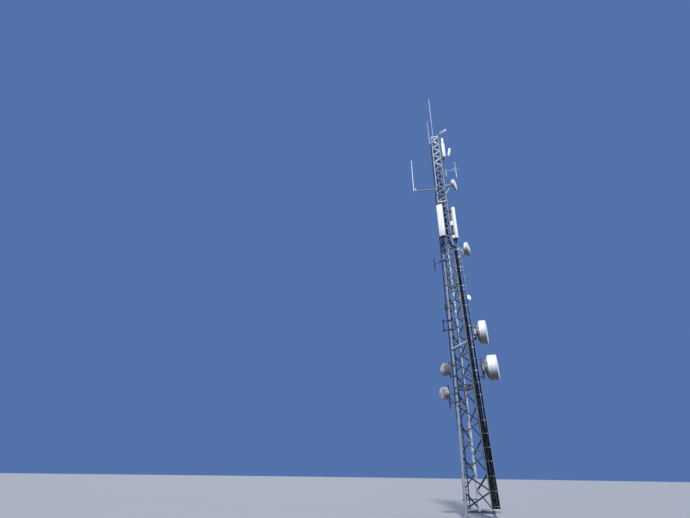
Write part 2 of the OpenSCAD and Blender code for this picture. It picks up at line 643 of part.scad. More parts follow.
// Large shrouded dishes on the right
drum_a = -6;
du_c = [1082, -160, 8080];
dl_c = [1240, -170, 6300];
module drum_upper() { color(white) aim(du_c, drum_a) drum(drum_d, drum_depth * 0.76); }
module drum_upper_mount() {
  z0 = level(1, 3) - 100;
  color(grey) difference() {
    union() {
      pipe_mount(1, 800, -190, 7720, 8560, [level(1, 4) - 60, level(1, 5) - 30], 57);
      translate([840, -280, 7980]) cube([84, 170, 200]);
      // stay from the left leg across the front face
      rod([-372, -322, z0], [800, -322, 7860], 20);
      translate([-420, -345, z0 - 30]) cube([70, 130, 60]);
      translate([776, -345, 7830]) cube([48, 120, 60]);
    }
    aim(du_c, drum_a) translate([0, 0, -0.16 * drum_d]) cylinder(h = 200, r = 0.14 * drum_d);
    leg_near(0, z0);
  }
}
module drum_lower() { color(white) aim(dl_c, drum_a) drum(drum_d, drum_depth); }
module drum_lower_mount() {
  color(grey) difference() {
    union() {
      pipe_mount(1, 930, -205, 5790, 6790, [level(1, 0) + 50, level(1, 1) + 90], 57);
      translate([970, -290, 6200]) cube([84, 170, 200]);
    }
    aim(dl_c, drum_a) translate([0, 0, -0.16 * drum_d]) cylinder(h = 200, r = 0.14 * drum_d);
  }
}
// Radio boxes on the mounting blocks of both large dishes
module drum_radios() {
  color(grey) {
    translate([784, -400.2, 7960]) cube([88, 120, 260]);
    translate([934, -410.2, 6140]) cube([94, 120, 320]);
  }
}
// Small shrouded dishes on the left
module left_drum_upper() { color(white) aim([-735, -385, 6260], 215) drum(600, 190); }
module left_drum_lower() { color(white) aim([-905, -385, 5130], 212) drum(600, 190); }
module left_drum_mounts() {
  color(grey) difference() {
    union() {
      pipe_mount(0, -600, -290, 5880, 6640, [level(1, 0) + 105, level(1, 1) + 105], 38);
      translate([-668, -345, 6210]) rotate([0, 0, 35]) cube([66, 90, 100]);
      pipe_mount(0, -768, -300, 4470, 5560, [level(0, 6) - 190, level(0, 6) + 200], 38);
      translate([-836, -358, 5080]) rotate([0, 0, 32]) cube([66, 90, 100]);
    }
    aim([-735, -385, 6260], 215) translate([0, 0, -96]) cylinder(h = 120, r = 84);
    aim([-905, -385, 5130], 212) translate([0, 0, -96]) cylinder(h = 120, r = 84);
  }
}

base_frame();
leg_left();
leg_right();
leg_rear();
foot_plates();
front_bracing_lower();
front_bracing_upper();
left_bracing_lower();
left_bracing_upper();
right_bracing_lower();
right_bracing_upper();
climbing_ladder();
climbing_ladder_brackets();
feeder_ladder();
feeder_ladder_brackets();
feeder_cables();
mast_cable_ladder();
mast_cables();
antenna_jumpers();
tall_whip();
short_whip();
yagi_antenna();
slim_panel();
slim_panel_mount();
small_panel();
side_arm();
side_whip();
ground_plane_arm();
ground_plane_antenna();
upper_dish();
upper_dish_mount();
sector_panel_left();
sector_panel_right();
sector_mount_left();
sector_mount_right();
radio_unit();
mid_dish();
mid_dish_mount();
dipole_antenna();
small_dish();
junction_box();
spare_mount();
drum_upper();
drum_upper_mount();
drum_lower();
drum_lower_mount();
drum_radios();
left_drum_upper();
left_drum_lower();
left_drum_mounts();
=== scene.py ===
import math
import random
import bpy
from mathutils import Vector, Matrix


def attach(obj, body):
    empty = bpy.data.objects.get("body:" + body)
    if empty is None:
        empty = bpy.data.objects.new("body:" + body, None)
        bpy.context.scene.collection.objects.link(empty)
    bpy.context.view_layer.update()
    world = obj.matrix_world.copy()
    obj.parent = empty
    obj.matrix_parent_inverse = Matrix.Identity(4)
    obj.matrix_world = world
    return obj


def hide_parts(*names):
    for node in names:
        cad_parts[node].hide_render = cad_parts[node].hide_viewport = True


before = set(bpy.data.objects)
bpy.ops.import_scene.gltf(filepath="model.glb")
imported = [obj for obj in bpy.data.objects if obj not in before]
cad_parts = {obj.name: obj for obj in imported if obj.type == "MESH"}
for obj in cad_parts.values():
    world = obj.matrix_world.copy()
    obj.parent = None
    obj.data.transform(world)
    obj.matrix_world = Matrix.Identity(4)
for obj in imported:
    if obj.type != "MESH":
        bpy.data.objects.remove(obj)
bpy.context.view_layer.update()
scene = bpy.context.scene
rnd = random.Random(7)
MM = 0.001


def V(*c):
    return Vector(c[0] if len(c) == 1 else c)


X, Y, Z = V(1, 0, 0), V(0, 1, 0), V(0, 0, 1)

# ---------------------------------------------------------------- camera
HEAD, PITCH, ROLL = math.radians(16.07), math.radians(27.8), math.radians(0.757)
FOCAL_PX, WIDTH_PX = 410.0, 690.0
cam_data = bpy.data.cameras.new("camera")
cam = bpy.data.objects.new("camera", cam_data)
scene.collection.objects.link(cam)
forward = V(-math.sin(HEAD) * math.cos(PITCH), math.cos(HEAD) * math.cos(PITCH), math.sin(PITCH))
right = V(math.cos(HEAD), math.sin(HEAD), 0.0)
up = right.cross(forward)
cam_x = right * math.cos(ROLL) + up * math.sin(ROLL)
cam_y = up * math.cos(ROLL) - right * math.sin(ROLL)
m = Matrix((cam_x, cam_y, -forward)).transposed().to_4x4()
m.translation = V(0.0, -21.4, 1.6)
cam.matrix_world = m
cam_data.sensor_fit = "HORIZONTAL"
cam_data.sensor_width = 36.0
cam_data.lens = 36.0 * FOCAL_PX / WIDTH_PX
cam_data.clip_start = 0.1
cam_data.clip_end = 2000.0
scene.camera = cam

# ---------------------------------------------------------------- light and stage
scene.view_settings.view_transform = "Standard"
world = bpy.data.worlds.new("sky")
scene.world = world
world.use_nodes = True
bg = world.node_tree.nodes["Background"]
bg.inputs["Color"].default_value = (0.088, 0.170, 0.405, 1.0)
bg.inputs["Strength"].default_value = 1.0


def sun(name, toward, strength, angle, color=(1, 1, 1)):
    d = bpy.data.lights.new(name, "SUN")
    d.energy = strength
    d.angle = math.radians(angle)
    d.color = color
    o = bpy.data.objects.new(name, d)
    o.rotation_euler = V(toward).to_track_quat("Z", "Y").to_euler()
    scene.collection.objects.link(o)


sun("key", (0.10, -0.62, 0.80), 4.1, 5.0, (1.0, 0.98, 0.94))
sun("side", (0.9, -0.18, 0.35), 0.7, 9.0, (1.0, 0.98, 0.95))
sun("back", (-0.45, 0.85, 0.45), 0.6, 14.0, (0.92, 0.96, 1.0))


# ---------------------------------------------------------------- materials
def nodes_of(mat):
    mat.use_nodes = True
    return mat.node_tree, mat.node_tree.nodes, mat.node_tree.links


class Mat:
    """Small helper that wires procedural textures in object coordinates."""

    def __init__(s, name, rough=0.5, metal=0.0, spec=0.5):
        s.mat = bpy.data.materials.new(name)
        s.tree, s.n, s.l = nodes_of(s.mat)
        s.bsdf = s.n["Principled BSDF"]
        s.bsdf.inputs["Metallic"].default_value = metal
        s.bsdf.inputs["Roughness"].default_value = rough
        s.bsdf.inputs["Specular IOR Level"].default_value = spec
        s.co = s.n.new("ShaderNodeTexCoord").outputs["Object"]

    def scaled(s, sc):
        mp = s.n.new("ShaderNodeMapping")
        mp.inputs["Scale"].default_value = sc
        s.l.new(s.co, mp.inputs["Vector"])
        return mp.outputs["Vector"]

    def noise(s, scale, detail=3.0, rough=0.6, co=None):
        t = s.n.new("ShaderNodeTexNoise")
        t.inputs["Scale"].default_value = scale
        t.inputs["Detail"].default_value = detail
        t.inputs["Roughness"].default_value = rough
        s.l.new(co or s.co, t.inputs["Vector"])
        return t.outputs["Fac"]

    def cells(s, scale, co=None):
        t = s.n.new("ShaderNodeTexVoronoi")
        t.inputs["Scale"].default_value = scale
        s.l.new(co or s.co, t.inputs["Vector"])
        bw = s.n.new("ShaderNodeSeparateColor")
        s.l.new(t.outputs["Color"], bw.inputs["Color"])
        return bw.outputs["Red"]

    def attr(s, name):
        t = s.n.new("ShaderNodeAttribute")
        t.attribute_name = name
        return t.outputs["Fac"]

    def math(s, op, a, b=None, c=None, clamp=False):
        t = s.n.new("ShaderNodeMath")
        t.operation = op
        t.use_clamp = clamp
        for i, v in enumerate((a, b, c)):
            if v is None:
                continue
            if isinstance(v, (int, float)):
                t.inputs[i].default_value = v
            else:
                s.l.new(v, t.inputs[i])
        return t.outputs[0]

    def ramp(s, fac, stops):
        t = s.n.new("ShaderNodeValToRGB")
        e = t.color_ramp.elements
        while len(e) > 1:
            e.remove(e[-1])
        e[0].position = stops[0][0]
        e[0].color = (*stops[0][1], 1)
        for p, c in stops[1:]:
            k = e.new(p)
            k.color = (*c, 1)
        s.l.new(fac, t.inputs["Fac"])
        return t.outputs["Color"]

    def mix(s, fac, a, b, mode="MIX"):
        t = s.n.new("ShaderNodeMix")
        t.data_type = "RGBA"
        t.blend_type = mode
        for k, v in ((0, fac), (6, a), (7, b)):
            if isinstance(v, (int, float)):
                t.inputs[k].default_value = v
            elif isinstance(v, tuple):
                t.inputs[k].default_value = (*v, 1)
            else:
                s.l.new(v, t.inputs[k])
        return t.outputs[2]

    def span(s, fac, lo, hi, to_lo, to_hi):
        t = s.n.new("ShaderNodeMapRange")
        t.inputs["From Min"].default_value = lo
        t.inputs["From Max"].default_value = hi
        t.inputs["To Min"].default_value = to_lo
        t.inputs["To Max"].default_value = to_hi
        s.l.new(fac, t.inputs["Value"])
        return t.outputs["Result"]

    def out(s, color, rough=None, height=None, dist=0.001, strength=0.4):
        s.l.new(color, s.bsdf.inputs["Base Color"])
        if rough is not None:
            s.l.new(rough, s.bsdf.inputs["Roughness"])
        if height is not None:
            b = s.n.new("ShaderNodeBump")
            b.inputs["Strength"].default_value = strength
            b.inputs["Distance"].default_value = dist
            s.l.new(height, b.inputs["Height"])
            s.l.new(b.outputs["Normal"], s.bsdf.inputs["Normal"])
        return s.mat


def make_steel(name="galvanised_steel", marked=True):
    """Hot-dip galvanised steel: spangle, dull oxide patches, run-off streaks, rust where water sits, and painted light
    from the tone attribute: painted shade in dark navy, painted highlight in pale grey.
    """
    k = Mat(name, metal=0.35, spec=0.4)
    spangle = k.cells(70.0)
    fine = k.noise(260.0, 2.0)
    patch = k.noise(3.2, 5.0, 0.65)
    streak = k.noise(5.0, 4.0, 0.7, k.scaled((9.0, 9.0, 0.55)))
    tone = k.attr("tone") if marked else k.span(k.noise(1.7, 3.0), 0.2, 0.8, 0.30, 0.55)
    where = k.attr("rust") if marked else k.span(k.noise(2.4, 3.0), 0.4, 0.65, 0.2, 0.9)
    base = k.ramp(spangle, [(0.0, (0.29, 0.345, 0.41)), (0.5, (0.37, 0.43, 0.50)), (1.0, (0.49, 0.55, 0.61))])
    base = k.mix(k.span(patch, 0.42, 0.66, 0.0, 0.75), base, (0.24, 0.285, 0.34))
    base = k.mix(k.span(streak, 0.52, 0.72, 0.0, 0.6), base, (0.15, 0.175, 0.205))
    # painted shade: tone below 0.5 mixes the colour toward dark navy; painted highlight: tone above 0.5 mixes it toward
    # pale grey
    base = k.mix(k.math("MULTIPLY", k.span(tone, 0.0, 0.5, 1.0, 0.0), 0.97, clamp=True), base, (0.012, 0.024, 0.052))
    base = k.mix(k.math("MULTIPLY", k.span(tone, 0.5, 1.0, 0.0, 1.0), 0.92, clamp=True), base, (0.80, 0.82, 0.83))
    mask = k.math("MULTIPLY", where, k.span(k.noise(34.0, 6.0, 0.75), 0.44, 0.66, 0.0, 0.8), clamp=True)
    rust = k.ramp(k.noise(90.0, 4.0, 0.7), [(0.3, (0.10, 0.040, 0.016)), (0.7, (0.30, 0.125, 0.045))])
    col = k.mix(mask, base, rust)
    rough = k.math("ADD", k.span(spangle, 0.0, 1.0, 0.40, 0.56), k.math("MULTIPLY", mask, 0.3), clamp=True)
    h = k.math("ADD", k.math("MULTIPLY", spangle, 0.35), k.math("ADD", k.math("MULTIPLY", fine, 0.3), k.math("MULTIPLY", mask, 0.8)))
    return k.out(col, rough, h, 0.0008, 0.45)


def make_paint(name, lo, hi, dirt, rough=0.42, streaks=0.6, metal=0.0, chip=(0.30, 0.13, 0.06), painted_shade=(0.050, 0.042, 0.042)):
    """Outdoor paint or radome plastic: chalking, run-off streaks, dust and small chips, and painted shade where the
    tone attribute is low.
    """
    k = Mat(name, metal=metal, spec=0.4)
    chalk = k.noise(2.6, 5.0, 0.6)
    streak = k.noise(6.0, 5.0, 0.72, k.scaled((5.0, 5.0, 0.9)))
    grime = k.noise(17.0, 6.0, 0.7)
    pebble = k.noise(420.0, 2.0, 0.5)
    base = k.ramp(chalk, [(0.30, lo), (0.72, hi)])
    base = k.mix(k.span(streak, 0.53, 0.74, 0.0, streaks), base, dirt)
    broad = k.noise(6.5, 4.0, 0.65)
    spots = k.math("ADD", k.span(grime, 0.46, 0.66, 0.0, 0.45), k.span(broad, 0.46, 0.60, 0.0, 0.72), clamp=True)
    g = k.math("MULTIPLY", k.math("POWER", k.attr("rust"), 1.5), spots, clamp=True)
    base = k.mix(g, base, chip)
    # painted shade: tone below 0.5 mixes the colour toward the shade colour
    base = k.mix(k.math("MULTIPLY", k.span(k.attr("tone"), 0.0, 0.5, 1.0, 0.0), 0.95, clamp=True), base, painted_shade)
    r = k.math("ADD", k.span(chalk, 0.3, 0.7, rough - 0.06, rough + 0.12), k.math("MULTIPLY", g, 0.25), clamp=True)
    h = k.math("ADD", k.math("MULTIPLY", pebble, 0.3), k.math("MULTIPLY", grime, 0.3))
    return k.out(base, r, h, 0.0006, 0.3)


def make_jacket():
    """Black cable jacket with dust on it and fine extrusion ribs."""
    k = Mat("cable_jacket", spec=0.08)
    dust = k.noise(9.0, 5.0, 0.7)
    scuff = k.noise(60.0, 4.0, 0.7)
    base = k.ramp(dust, [(0.35, (0.0025, 0.004, 0.0035)), (0.62, (0.006, 0.008, 0.007)), (0.80, (0.022, 0.026, 0.018))])
    base = k.mix(k.span(scuff, 0.60, 0.75, 0.0, 0.4), base, (0.018, 0.020, 0.018))
    h = k.math("ADD", k.math("MULTIPLY", scuff, 0.4), k.noise(5.0, 1.0, 0.5, k.scaled((2.0, 2.0, 60.0))))
    return k.out(base, k.span(dust, 0.3, 0.7, 0.70, 0.92), h, 0.0008, 0.3)


def make_fibre():
    """Fibreglass whip: pale gel coat with faint lengthwise fibres and chalking, and painted light from the tone
    attribute: painted shade in dark blue, painted highlight in near white.
    """
    k = Mat("whip_fibreglass", spec=0.45)
    fibre = k.noise(40.0, 3.0, 0.7, k.scaled((14.0, 14.0, 0.25)))
    chalk = k.noise(4.0, 4.0, 0.6)
    base = k.ramp(chalk, [(0.3, (0.48, 0.57, 0.70)), (0.7, (0.62, 0.70, 0.80))])
    base = k.mix(k.span(fibre, 0.45, 0.7, 0.0, 0.35), base, (0.32, 0.41, 0.56))
    # painted shade for low tone, painted highlight for high tone
    base = k.mix(k.math("MULTIPLY", k.span(k.attr("tone"), 0.0, 0.5, 1.0, 0.0), 0.85, clamp=True), base, (0.10, 0.16, 0.27))
    base = k.mix(k.math("MULTIPLY", k.span(k.attr("tone"), 0.5, 1.0, 0.0, 1.0), 0.85, clamp=True), base, (0.82, 0.87, 0.93))
    return k.out(base, k.span(chalk, 0.3, 0.7, 0.35, 0.5), fibre, 0.0005, 0.25)


def make_alu():
    """Dull aluminium tube with drawn lines and oxide bloom."""
    k = Mat("antenna_aluminium", metal=0.2, spec=0.5)
    line = k.noise(30.0, 3.0, 0.7, k.scaled((0.6, 20.0, 20.0)))
    bloom = k.noise(22.0, 5.0, 0.7)
    base = k.ramp(bloom, [(0.35, (0.72, 0.73, 0.74)), (0.7, (0.90, 0.90, 0.90))])
    base = k.mix(k.span(line, 0.5, 0.7, 0.0, 0.3), base, (0.55, 0.56, 0.57))
    return k.out(base, k.span(bloom, 0.3, 0.7, 0.38, 0.55), line, 0.0004, 0.25)


MATS = {
    "galvanised_steel": make_steel(),
    "cable_jacket": make_jacket(),
    # near-black navy finish, used as painted shade on the climbing ladder and the dipole; it also colours the splitter
    # box, control box and spare pole
    "dark_paint": make_paint("dark_paint", (0.006, 0.015, 0.038), (0.014, 0.030, 0.065), (0.05, 0.06, 0.08), 0.55, 0.35, chip=(0.045, 0.05, 0.06), painted_shade=(0.004, 0.008, 0.018)),
    "whip_fibreglass": make_fibre(),
    "antenna_aluminium": make_alu(),
    "radome_white": make_paint("radome_white", (0.78, 0.79, 0.77), (0.90, 0.90, 0.88), (0.62, 0.62, 0.57), 0.45, 0.20, chip=(0.20, 0.125, 0.10)),
    "dish_shroud_paint": make_paint("dish_shroud_paint", (0.74, 0.75, 0.73), (0.88, 0.88, 0.86), (0.62, 0.60, 0.54), 0.38, 0.14, chip=(0.19, 0.12, 0.09)),
    "radio_paint": make_paint("radio_paint", (0.70, 0.71, 0.70), (0.84, 0.84, 0.82), (0.45, 0.44, 0.41), 0.42, 0.4),
}


# ---------------------------------------------------------------- mesh tools (millimetres)
def basis(w, ref=None):
    w = w.normalized()
    ref = ref if ref is not None else (Z if abs(w.z) < 0.9 else X)
    u = ref.cross(w)
    if u.length < 1e-6:
        u = Y.cross(w)
    u.normalize()
    return u, w.cross(u), w


class Piece:
    """Closed shells gathered into one object, each turned outward."""

    def __init__(s):
        s.v, s.f, s.tone, s.rust = [], [], [], []

    def add(s, verts, faces, tone=0.5, rust=0.0):
        c = verts[0]
        vol = 0.0
        for f in faces:
            a = verts[f[0]] - c
            for i in range(1, len(f) - 1):
                vol += a.dot((verts[f[i]] - c).cross(verts[f[i + 1]] - c))
        if vol < 0:
            faces = [f[::-1] for f in faces]
        b = len(s.v)
        s.v += verts
        s.f += [[i + b for i in f] for f in faces]
        # tone per vertex: random variation plus painted light, painted shade when low and painted highlight when high
        s.tone += [tone(p) if callable(tone) else tone for p in verts]
        s.rust += [rust(p) if callable(rust) else rust for p in verts]

    def tube(s, path, r, n=12, tone=0.5, rust=0.0, ref=None):
        path = [V(p) for p in path]
        rs = r if isinstance(r, (list, tuple)) else [r] * len(path)
        m_ = len(path)
        tan = []
        for i in range(m_):
            a = (path[i + 1] - path[i]).normalized() if i < m_ - 1 else None
            b = (path[i] - path[i - 1]).normalized() if i else None
            t = a if b is None else b if a is None else (a + b)
            tan.append(t.normalized())
        u, v, _ = basis(tan[0], ref)
        verts, faces = [], []
        for i in range(m_):
            if i:
                q = tan[i - 1].rotation_difference(tan[i])
                u = (q @ u)
                u = (u - tan[i] * u.dot(tan[i])).normalized()
                v = tan[i].cross(u)
            for j in range(n):
                g = math.tau * (j + 0.5) / n
                verts.append(path[i] + (u * math.cos(g) + v * math.sin(g)) * rs[i])
        for i in range(m_ - 1):
            for j in range(n):
                k = (j + 1) % n
                faces.append([i * n + j, i * n + k, (i + 1) * n + k, (i + 1) * n + j])
        faces.append(list(range(n))[::-1])
        faces.append([(m_ - 1) * n + j for j in range(n)])
        s.add(verts, faces, tone, rust)

    def rod(s, a, b, r, n=14, tone=0.5, rust=0.0, seg=1):
        a, b = V(a), V(b)
        s.tube([a.lerp(b, i / seg) for i in range(seg + 1)], r, n, tone, rust)

    def lathe(s, o, w, prof, n=40, tone=0.5, rust=0.0, ref=None):
        o = V(o)
        u, v, w = basis(V(w), ref)
        verts, rings = [], []
        for r, z in prof:
            if r <= 1e-6:
                rings.append([len(verts)])
                verts.append(o + w * z)
            else:
                rings.append(list(range(len(verts), len(verts) + n)))
                for j in range(n):
                    g = math.tau * (j + 0.5) / n
                    verts.append(o + w * z + (u * math.cos(g) + v * math.sin(g)) * r)
        faces = []
        loop = prof[0][0] > 1e-6 and prof[-1][0] > 1e-6
        pairs = list(zip(rings, rings[1:])) + ([(rings[-1], rings[0])] if loop else [])
        for A, B in pairs:
            for j in range(n):
                k = (j + 1) % n
                if len(A) == 1 and len(B) == 1:
                    continue
                if len(A) == 1:
                    faces.append([A[0], B[k], B[j]])
                elif len(B) == 1:
                    faces.append([A[j], A[k], B[0]])
                else:
                    faces.append([A[j], A[k], B[k], B[j]])
        s.add(verts, faces, tone, rust)

    def prism(s, o, R, poly, h, tone=0.5, rust=0.0, z0=0.0):
        o = V(o)
        u, v, w = R
        n = len(poly)
        verts = [o + u * a + v * b + w * z for z in (z0, z0 + h) for a, b in poly]
        faces = [list(range(n))[::-1], [n + i for i in range(n)]]
        faces += [[i, (i + 1) % n, n + (i + 1) % n, n + i] for i in range(n)]
        s.add(verts, faces, tone, rust)

    def cbox(s, c, R, size, ch=2.0, tone=0.5, rust=0.0):
        """Box with chamfered edges about centre c."""
        c = V(c)
        u, v, w = R
        hx, hy, hz = (q / 2 for q in size)
        ch = min(ch, hx * 0.9, hy * 0.9, hz * 0.9)
        idx, verts = {}, []
        for sx in (-1, 1):
            for sy in (-1, 1):
                for sz in (-1, 1):
                    for ax in range(3):
                        p = [sx * (hx - ch), sy * (hy - ch), sz * (hz - ch)]
                        p[ax] = (sx * hx, sy * hy, sz * hz)[ax]
                        idx[(sx, sy, sz, ax)] = len(verts)
                        verts.append(c + u * p[0] + v * p[1] + w * p[2])
        faces = []
        sg = (-1, 1)
        for ax in range(3):
            b, d = [i for i in range(3) if i != ax]
            for sa in sg:
                f = []
                for sb, sd in ((-1, -1), (1, -1), (1, 1), (-1, 1)):
                    k = [0, 0, 0]
                    k[ax], k[b], k[d] = sa, sb, sd
                    f.append(idx[(*k, ax)])
                faces.append(f if (sa > 0) == (ax != 1) else f[::-1])
        for ax in range(3):
            b, d = [i for i in range(3) if i != ax]
            for sb in sg:
                for sd in sg:
                    k0, k1 = [0, 0, 0], [0, 0, 0]
                    k0[ax], k1[ax] = -1, 1
                    k0[b] = k1[b] = sb
                    k0[d] = k1[d] = sd
                    f = [idx[(*k0, b)], idx[(*k1, b)], idx[(*k1, d)], idx[(*k0, d)]]
                    n_ = (verts[f[1]] - verts[f[0]]).cross(verts[f[2]] - verts[f[0]])
                    o_ = sum((verts[i] for i in f), Vector()) / 4 - c
                    faces.append(f if n_.dot(o_) > 0 else f[::-1])
        for sx in sg:
            for sy in sg:
                for sz in sg:
                    f = [idx[(sx, sy, sz, a)] for a in range(3)]
                    n_ = (verts[f[1]] - verts[f[0]]).cross(verts[f[2]] - verts[f[0]])
                    o_ = sum((verts[i] for i in f), Vector()) / 3 - c
                    faces.append(f if n_.dot(o_) > 0 else f[::-1])
        fixed = []
        for f in faces:
            n_ = (verts[f[1]] - verts[f[0]]).cross(verts[f[2]] - verts[f[0]])
            o_ = sum((verts[i] for i in f), Vector()) / len(f) - c
            fixed.append(f if n_.dot(o_) > 0 else f[::-1])
        s.add(verts, fixed, tone, rust)

    def hexa(s, p, w, af, h, tone=0.5, rust=0.0):
        p = V(p)
        u, v, w = basis(V(w))
        r = af / math.sqrt(3)
        c = [(r * math.cos(math.tau * i / 6), r * math.sin(math.tau * i / 6)) for i in range(6)]
        k = [(a * 0.88, b * 0.88) for a, b in c]
        verts = [p + u * a + v * b for a, b in c] + [p + u * a + v * b + w * h * 0.8 for a, b in c] + [p + u * a + v * b + w * h for a, b in k]
        faces = [list(range(6))[::-1], [12 + i for i in range(6)]]
        for q in (0, 6):
            faces += [[q + i, q + (i + 1) % 6, q + 6 + (i + 1) % 6, q + 6 + i] for i in range(6)]
        s.add(verts, faces, tone, rust)

    def bolt(s, p, w, d, grip=0.0, tone=0.55, rust=0.35):
        """Hex head with washer at p, and a nut on the far side of the grip."""
        p, w = V(p), V(w).normalized()
        s.lathe(p, w, [(0, 0), (d * 1.05, 0), (d * 1.05, d * 0.16), (0, d * 0.16)], 10, tone, rust)
        s.hexa(p + w * d * 0.14, w, d * 1.6, d * 0.62, tone, rust)
        if grip > 0:
            q = p - w * grip
            s.lathe(q, -w, [(0, 0), (d * 1.05, 0), (d * 1.05, d * 0.16), (0, d * 0.16)], 10, tone, rust)
            s.hexa(q - w * d * 0.14, -w, d * 1.6, d * 0.75, tone, rust)
            s.rod(q - w * d * 0.8, q - w * d * 1.4, d * 0.45, 8, tone, rust)

    def ring(s, c, w, r0, r1, h, n=28, ch=2.0, tone=0.5, rust=0.0):
        """Collar with a bore, chamfered, centred on c."""
        s.lathe(c, w, [(r0, -h / 2), (r1 - ch, -h / 2), (r1, -h / 2 + ch), (r1, h / 2 - ch), (r1 - ch, h / 2), (r0, h / 2)], n, tone, rust)

    def clamp(s, c, w, r, h, side, t=8.0, tone=0.5, rust=0.25):
        """Split clamp round a pipe: two half shells with ears and through bolts."""
        c, w, side = V(c), V(w).normalized(), V(side).normalized()
        side = (side - w * side.dot(w)).normalized()
        front = w.cross(side)
        s.ring(c, w, r - 0.5, r + t, h, 24, 2.0, tone, rust)
        ear = max(24.0, h * 0.4)
        for sg in (-1, 1):
            e = c + side * sg * (r + t + ear / 2 - 3)
            for q in (-1, 1):
                s.cbox(e + front * q * 7.0, (side, front, w), (ear, 8, h), 1.5, tone, rust)
            for zz in ((-0.27, 0.27) if h > 60 else (0.0,)):
                s.bolt(e + front * 11.0 + w * h * zz + side * sg * 3, front, 9.0, 22.0, 0.6, 0.5)

    def ubolt(s, c, w, r, toward, plate=True, tone=0.6, rust=0.3):
        """U-bolt round a pipe, its threads going 'toward' through a saddle plate."""
        c, w, d = V(c), V(w).normalized(), V(toward).normalized()
        d = (d - w * d.dot(w)).normalized()
        sd = w.cross(d)
        q = r + 5.5
        path = [c + sd * q + d * (r + 34)] + [c + sd * q * math.cos(g) - d * q * math.sin(g) for g in [math.pi * i / 10 for i in range(11)]] + [c - sd * q + d * (r + 34)]
        s.tube(path, 5.0, 8, tone, rust)
        if plate:
            s.cbox(c + d * (r + 10), (sd, d, w), (2 * q + 34, 8, 46), 1.5, tone, rust)
        for sg in (-1, 1):
            s.hexa(c + sd * q * sg + d * (r + 14), d, 16, 9, tone, rust)

    def done(s, name, slot, *nodes, angle=38.0):
        me = bpy.data.meshes.new(name)
        me.from_pydata([tuple(p * MM) for p in s.v], [], s.f)
        me.polygons.foreach_set("use_smooth", [True] * len(me.polygons))
        me.set_sharp_from_angle(angle=math.radians(angle))
        for key, data in (("tone", s.tone), ("rust", s.rust)):
            at = me.attributes.new(key, "FLOAT", "POINT")
            at.data.foreach_set("value", data)
        me.update()
        ob = bpy.data.objects.new(name, me)
        me.materials.append(MATS[slot])
        scene.collection.objects.link(ob)
        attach(ob, "root")
        if nodes:
            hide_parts(*nodes)
        return ob


def rot2(p, a):
    c, s_ = math.cos(a), math.sin(a)
    return V(p[0] * c - p[1] * s_, p[0] * s_ + p[1] * c, p[2])


def aim_axes(a, e=0.0):
    """Axes of an aimed part: x points down, y across, z along the aim."""
    a, e = math.radians(a), math.radians(e)
    z = V(math.cos(e) * math.cos(a), math.cos(e) * math.sin(a), math.sin(e))
    x = V(math.sin(e) * math.cos(a), math.sin(e) * math.sin(a), -math.cos(e))
    return x, z.cross(x), z


def rrect(w, d, r, n=6, inset=0.0):
    w, d, r = w - 2 * inset, d - 2 * inset, max(r - inset, 1.0)
    out = []
    for cx, cy, a0 in ((w / 2 - r, d / 2 - r, 0), (-w / 2 + r, d / 2 - r, 90), (-w / 2 + r, -d / 2 + r, 180), (w / 2 - r, -d / 2 + r, 270)):
        for i in range(n + 1):
            g = math.radians(a0 + 90 * i / n)
            out.append((cx + r * math.cos(g), cy + r * math.sin(g)))
    return out


def loft(pc, o, R, rings, tone=0.5, rust=0.0):
    """Stack of outlines [(z, outline)] closed with flat ends."""
    o = V(o)
    u, v, w = R
    n = len(rings[0][1])
    verts = [o + u * a + v * b + w * z for z, ol in rings for a, b in ol]
    faces = [list(range(n))[::-1], [(len(rings) - 1) * n + i for i in range(n)]]
    for k in range(len(rings) - 1):
        faces += [[k * n + i, k * n + (i + 1) % n, (k + 1) * n + (i + 1) % n, (k + 1) * n + i] for i in range(n)]
    pc.add(verts, faces, tone, rust)


def radome(pc, o, R, w, d, h, r, z0=0.0, tone=0.5, rust=0.0, edge=10.0):
    zs = [(z0, edge), (z0 + edge * 0.35, edge * 0.35), (z0 + edge, 0.0), (z0 + h / 3, 0), (z0 + 2 * h / 3, 0), (z0 + h - edge, 0.0), (z0 + h - edge * 0.35, edge * 0.35), (z0 + h, edge)]
    loft(pc, o, R, [(z, rrect(w, d, r, 6, i)) for z, i in zs], tone, rust)


# ---------------------------------------------------------------- mast dimensions
MAST_H = 21800.0
JZ = [20.0, MAST_H * 0.25, MAST_H * 0.5, MAST_H * 0.75, MAST_H]
JW = [1160.0, 840.0, 600.0, 510.0, 430.0]
LR = [63.5, 50.8, 38.0, 30.0]
BAYS = [7, 10, 13, 17]
BW = [65.0, 55.0, 45.0, 40.0]
BT = [7.0, 6.0, 5.0, 5.0]
LEG_A = [210.0, 330.0, 90.0]
S3 = math.sqrt(3.0)


def sec_of(z):
    return 0 if z < JZ[1] else 1 if z < JZ[2] else 2 if z < JZ[3] else 3


def side_at(z):
    i = sec_of(z)
    return JW[i] + (JW[i + 1] - JW[i]) * (z - JZ[i]) / (JZ[i + 1] - JZ[i])


def leg_p(k, z):
    a, r = math.radians(LEG_A[k]), side_at(z) / S3
    return V(math.cos(a) * r, math.sin(a) * r, z)


def joint_p(k, i):
    a, r = math.radians(LEG_A[k]), JW[i] / S3
    return V(math.cos(a) * r, math.sin(a) * r, JZ[i])


def tau_of(i):
    return math.atan((JW[i] - JW[i + 1]) / (2 * S3) / (JZ[i + 1] - JZ[i]))


def len_of(i):
    return (JZ[i + 1] - JZ[i]) / math.cos(tau_of(i))


def tie0_of(i):
    return 250.0 if i == 0 else 75.0


def tie1_of(i):
    return len_of(i) - 75.0


def run0_of(i):
    return tie0_of(i) + BW[i] * 1.4


def step_of(i):
    return (tie1_of(i) - tie0_of(i) - BW[i] * 2.8) / BAYS[i]


def level(i, n):
    return JZ[i] + math.cos(tau_of(i)) * (run0_of(i) + step_of(i) * (n + 0.5))


